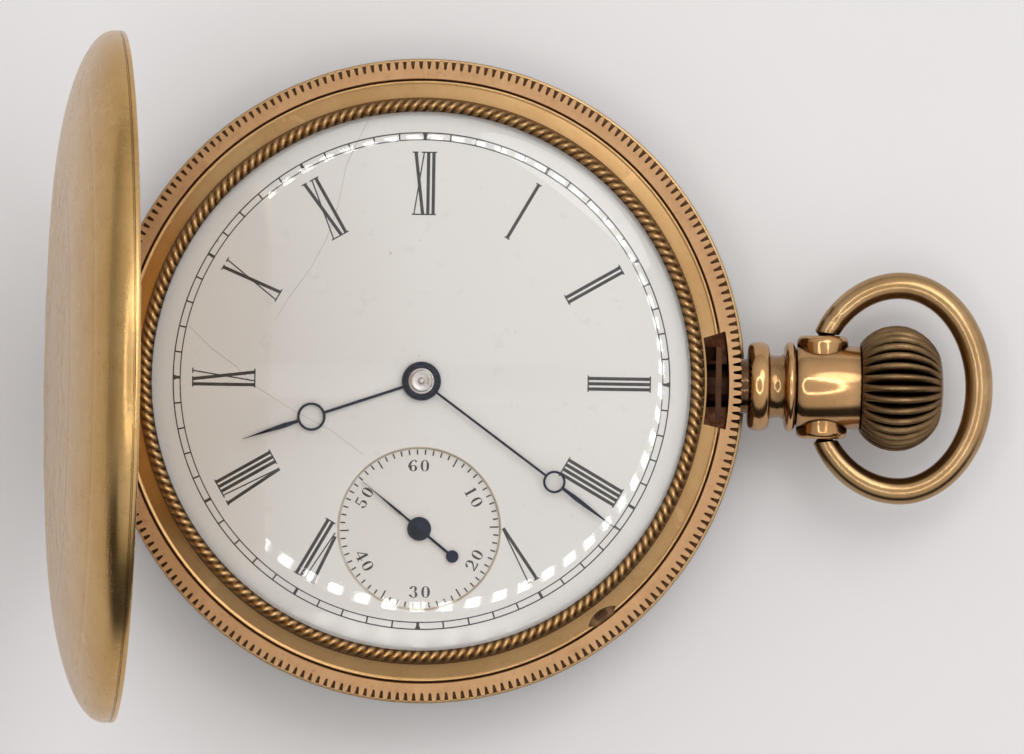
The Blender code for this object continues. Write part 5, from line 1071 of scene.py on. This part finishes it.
def spiral_ribbon(name, node, inner, turns, half, material, body):
    """A flat spring wound in its own plane, as tall as the CAD solid that it stands for."""
    low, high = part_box(node)
    outer = min(high.x - low.x, high.y - low.y) / 2 - half
    centre = (low + high) / 2
    rings = []
    count = turns * 48
    for i in range(count + 1):
        share = i / count
        angle = 2 * math.pi * turns * share
        radius = inner + (outer - inner) * share
        x, y = math.cos(angle), math.sin(angle)
        ring = []
        for out, z in ((-half, low.z), (half, low.z), (half, high.z), (-half, high.z)):
            ring.append((centre.x + (radius + out) * x, centre.y + (radius + out) * y, z))
        rings.append(ring)
    points, faces = loft(rings)
    faces.append([0, 1, 2, 3])
    faces.append([len(points) - 4 + i for i in (3, 2, 1, 0)])
    piece(mesh_object(name, points, faces, 30), material, body, "blued", node)


def make_dust_cover():
    radius, inner, depth, wall = 18.15 * MM, 17.8 * MM, 2.7 * MM, 0.35 * MM
    flat = 12 * MM
    shares = (0, 0.2, 0.45, 0.66, 0.72, 0.78, 0.84, 0.89, 0.93, 0.96, 0.98, 0.993, 1.0)
    outside = [(radius * x, BAND_LOW - dome_height(radius * x, radius, flat, depth, 0)) for x in shares]
    inside = [(inner * x, BAND_LOW - dome_height(inner * x, inner, flat, depth - wall, 0)) for x in shares]
    lip = [(radius, BAND_LOW + 0.36 * MM), (radius - 0.04 * MM, BAND_LOW + 0.4 * MM), (inner, BAND_LOW + 0.4 * MM)]
    shell = turned("dust_cover_shell", outside + lip + inside[::-1], 192)
    length, side = 1.55 * MM, 1.5 * MM
    rooms = [knuckle("room", 0.5 * MM, length, DUST_X, s * side, DUST_Z, 0) for s in (-1, 1)]
    leaf = box("leaf", (DUST_X, -0.7 * MM, DUST_Z - 0.2 * MM), (-17.98 * MM, 0.7 * MM, DUST_Z + 0.1 * MM))
    shell = weld(carve(shell, *rooms), knuckle("dust_knuckle", 0.4 * MM, 1.4 * MM, DUST_X, 0, DUST_Z), leaf)
    piece(shell, LID_GOLD, "dust_cover", "gold", "dust_cover")


spiral_ribbon("hairspring_coil", "hairspring", 0.75 * MM, 11, 0.022 * MM, SPRING, "case")
spiral_ribbon("mainspring_coil", "mainspring", 1.5 * MM, 10, 0.06 * MM, SPRING, "barrel")
make_dust_cover()

FINISHES = {"gold": GOLD, "worn_gold": PENDANT_GOLD, "brass": BRASS, "nickel": NICKEL, "steel": STEEL,
            "blued": BLUED, "enamel": ENAMEL, "glass": GLASS, "ruby": RUBY}
for part in frame["record"]["subparts"]:
    node = NODES[part["node"]]
    node.data.materials.clear()
    # the pieces seen in the catch's recess take the near-black steel: grime and painted shade
    hidden = part["node"] in ("lock_spring", "lift_spring", "push_sleeve", "setting_lever")
    node.data.materials.append(GRIMED_AND_SHADED_STEEL if hidden else FINISHES[part["material_slot"]])
    soften(node, 28)


# Stage


def paper():
    """White paper: faint fibres and a slow fall-off of colour across the sheet."""
    s = Shader("white_paper", Roughness=0.85, Specular_IOR_Level=0.2)
    fibre = s.noise(1.2 * MM, 6, 0.7)
    tone = s.mix(s.ramp(s.noise(60 * MM, 2, 0.5), (0.35, 0.0), (0.7, 1.0)), (0.765, 0.752, 0.757), (0.745, 0.73, 0.735))
    s.colour(s.mix(s.math("MULTIPLY", fibre, 0.06), tone, (0.6, 0.57, 0.56)))
    s.bump((fibre, 0.12, 0.05 * MM))
    return s.material


def make_floor():
    half = 0.5
    points = [(-half, -half, 0), (half, -half, 0), (half, half, 0), (-half, half, 0)]
    mesh = bpy.data.meshes.new("floor")
    mesh.from_pydata(points, [], [(0, 1, 2, 3)])
    floor = bpy.data.objects.new("floor", mesh)
    scene.collection.objects.link(floor)
    mesh.materials.append(paper())


def area_light(name, at, size, power, colour=(1, 1, 1), target=(0, 0, 0.006)):
    data = bpy.data.lights.new(name, "AREA")
    data.shape = "DISK"
    data.size = size
    data.energy = power
    data.color = colour
    obj = bpy.data.objects.new(name, data)
    obj.location = at
    obj.rotation_euler = (Vector(target) - Vector(at)).to_track_quat("-Z", "Y").to_euler()
    scene.collection.objects.link(obj)


LAMP_COUNT = 60
LAMP_AXIS = (math.radians(3.3), math.radians(-0.75), 0.0)
LAMP_ANGLE, LAMP_HALF = math.radians(20.8), math.radians(1.25)


def make_world():
    """A pale room, darker on the near side, and a ring of small lamps round the lens."""
    world = bpy.data.worlds.new("studio")
    world.use_nodes = True
    nodes, links = world.node_tree.nodes, world.node_tree.links

    def node(kind, inputs=(), **settings):
        made = nodes.new(kind)
        for key, value in settings.items():
            setattr(made, key, value)
        for socket, value in dict(inputs).items():
            if isinstance(value, bpy.types.NodeSocket):
                links.new(value, made.inputs[socket])
            else:
                made.inputs[socket].default_value = value
        return made

    def sums(operation, a, b=0.0):
        return node("ShaderNodeMath", {0: a, 1: b}, operation=operation).outputs[0]

    way = node("ShaderNodeTexCoord").outputs["Generated"]
    x, y, z = node("ShaderNodeSeparateXYZ", {0: way}).outputs

    def slope(value, start, end, low, high):
        made = node("ShaderNodeMapRange", {"Value": value, "From Min": start, "From Max": end, "To Min": low,
                                           "To Max": high}, interpolation_type="SMOOTHSTEP")
        return made.outputs[0]

    shade = sums("MULTIPLY", slope(y, -0.25, -0.5, 0.0, 0.93), slope(z, 0.62, 0.42, 0.0, 1.0))
    level = sums("MULTIPLY", slope(y, -1.0, 1.0, 0.74, 0.92), slope(x, -1.0, 1.0, 0.68, 1.2))
    level = sums("MULTIPLY", level, slope(z, -0.1, 0.75, 0.64, 1.12))
    grey = sums("MULTIPLY", level, sums("SUBTRACT", 1.0, shade))
    room = node("ShaderNodeMix", {0: grey, 6: (0, 0, 0, 1), 7: (1, 0.985, 0.98, 1)}, data_type="RGBA")
    turned_way = node("ShaderNodeMapping", {"Vector": way, "Rotation": LAMP_AXIS}).outputs[0]
    axes = node("ShaderNodeSeparateXYZ", {0: turned_way}).outputs
    off = sums("ABSOLUTE", sums("SUBTRACT", sums("ARCCOSINE", axes[2]), LAMP_ANGLE))
    share = sums("FRACT", sums("MULTIPLY", sums("ARCTAN2", axes[1], axes[0]), LAMP_COUNT / (2 * math.pi)))
    lamp = sums("MULTIPLY", sums("LESS_THAN", off, LAMP_HALF), sums("LESS_THAN", share, 0.5))
    light = node("ShaderNodeMix", {0: lamp, 6: room.outputs[2], 7: (15, 15, 14.7, 1)}, data_type="RGBA")
    links.new(light.outputs[2], nodes["Background"].inputs["Color"])
    scene.world = world


def make_camera():
    data = bpy.data.cameras.new("camera")
    data.sensor_width = 36
    data.lens = 204
    data.clip_start, data.clip_end = 0.01, 10
    camera = bpy.data.objects.new("camera", data)
    camera.location = (5.75 * MM, 0.35 * MM, 0.3775)
    camera.rotation_euler = (0, 0, math.radians(0.9))
    scene.collection.objects.link(camera)
    scene.camera = camera


make_floor()
make_world()
area_light("key", (0.20, 0.27, 0.50), 0.3, 0.5)
make_camera()
scene.view_settings.view_transform = "Standard"
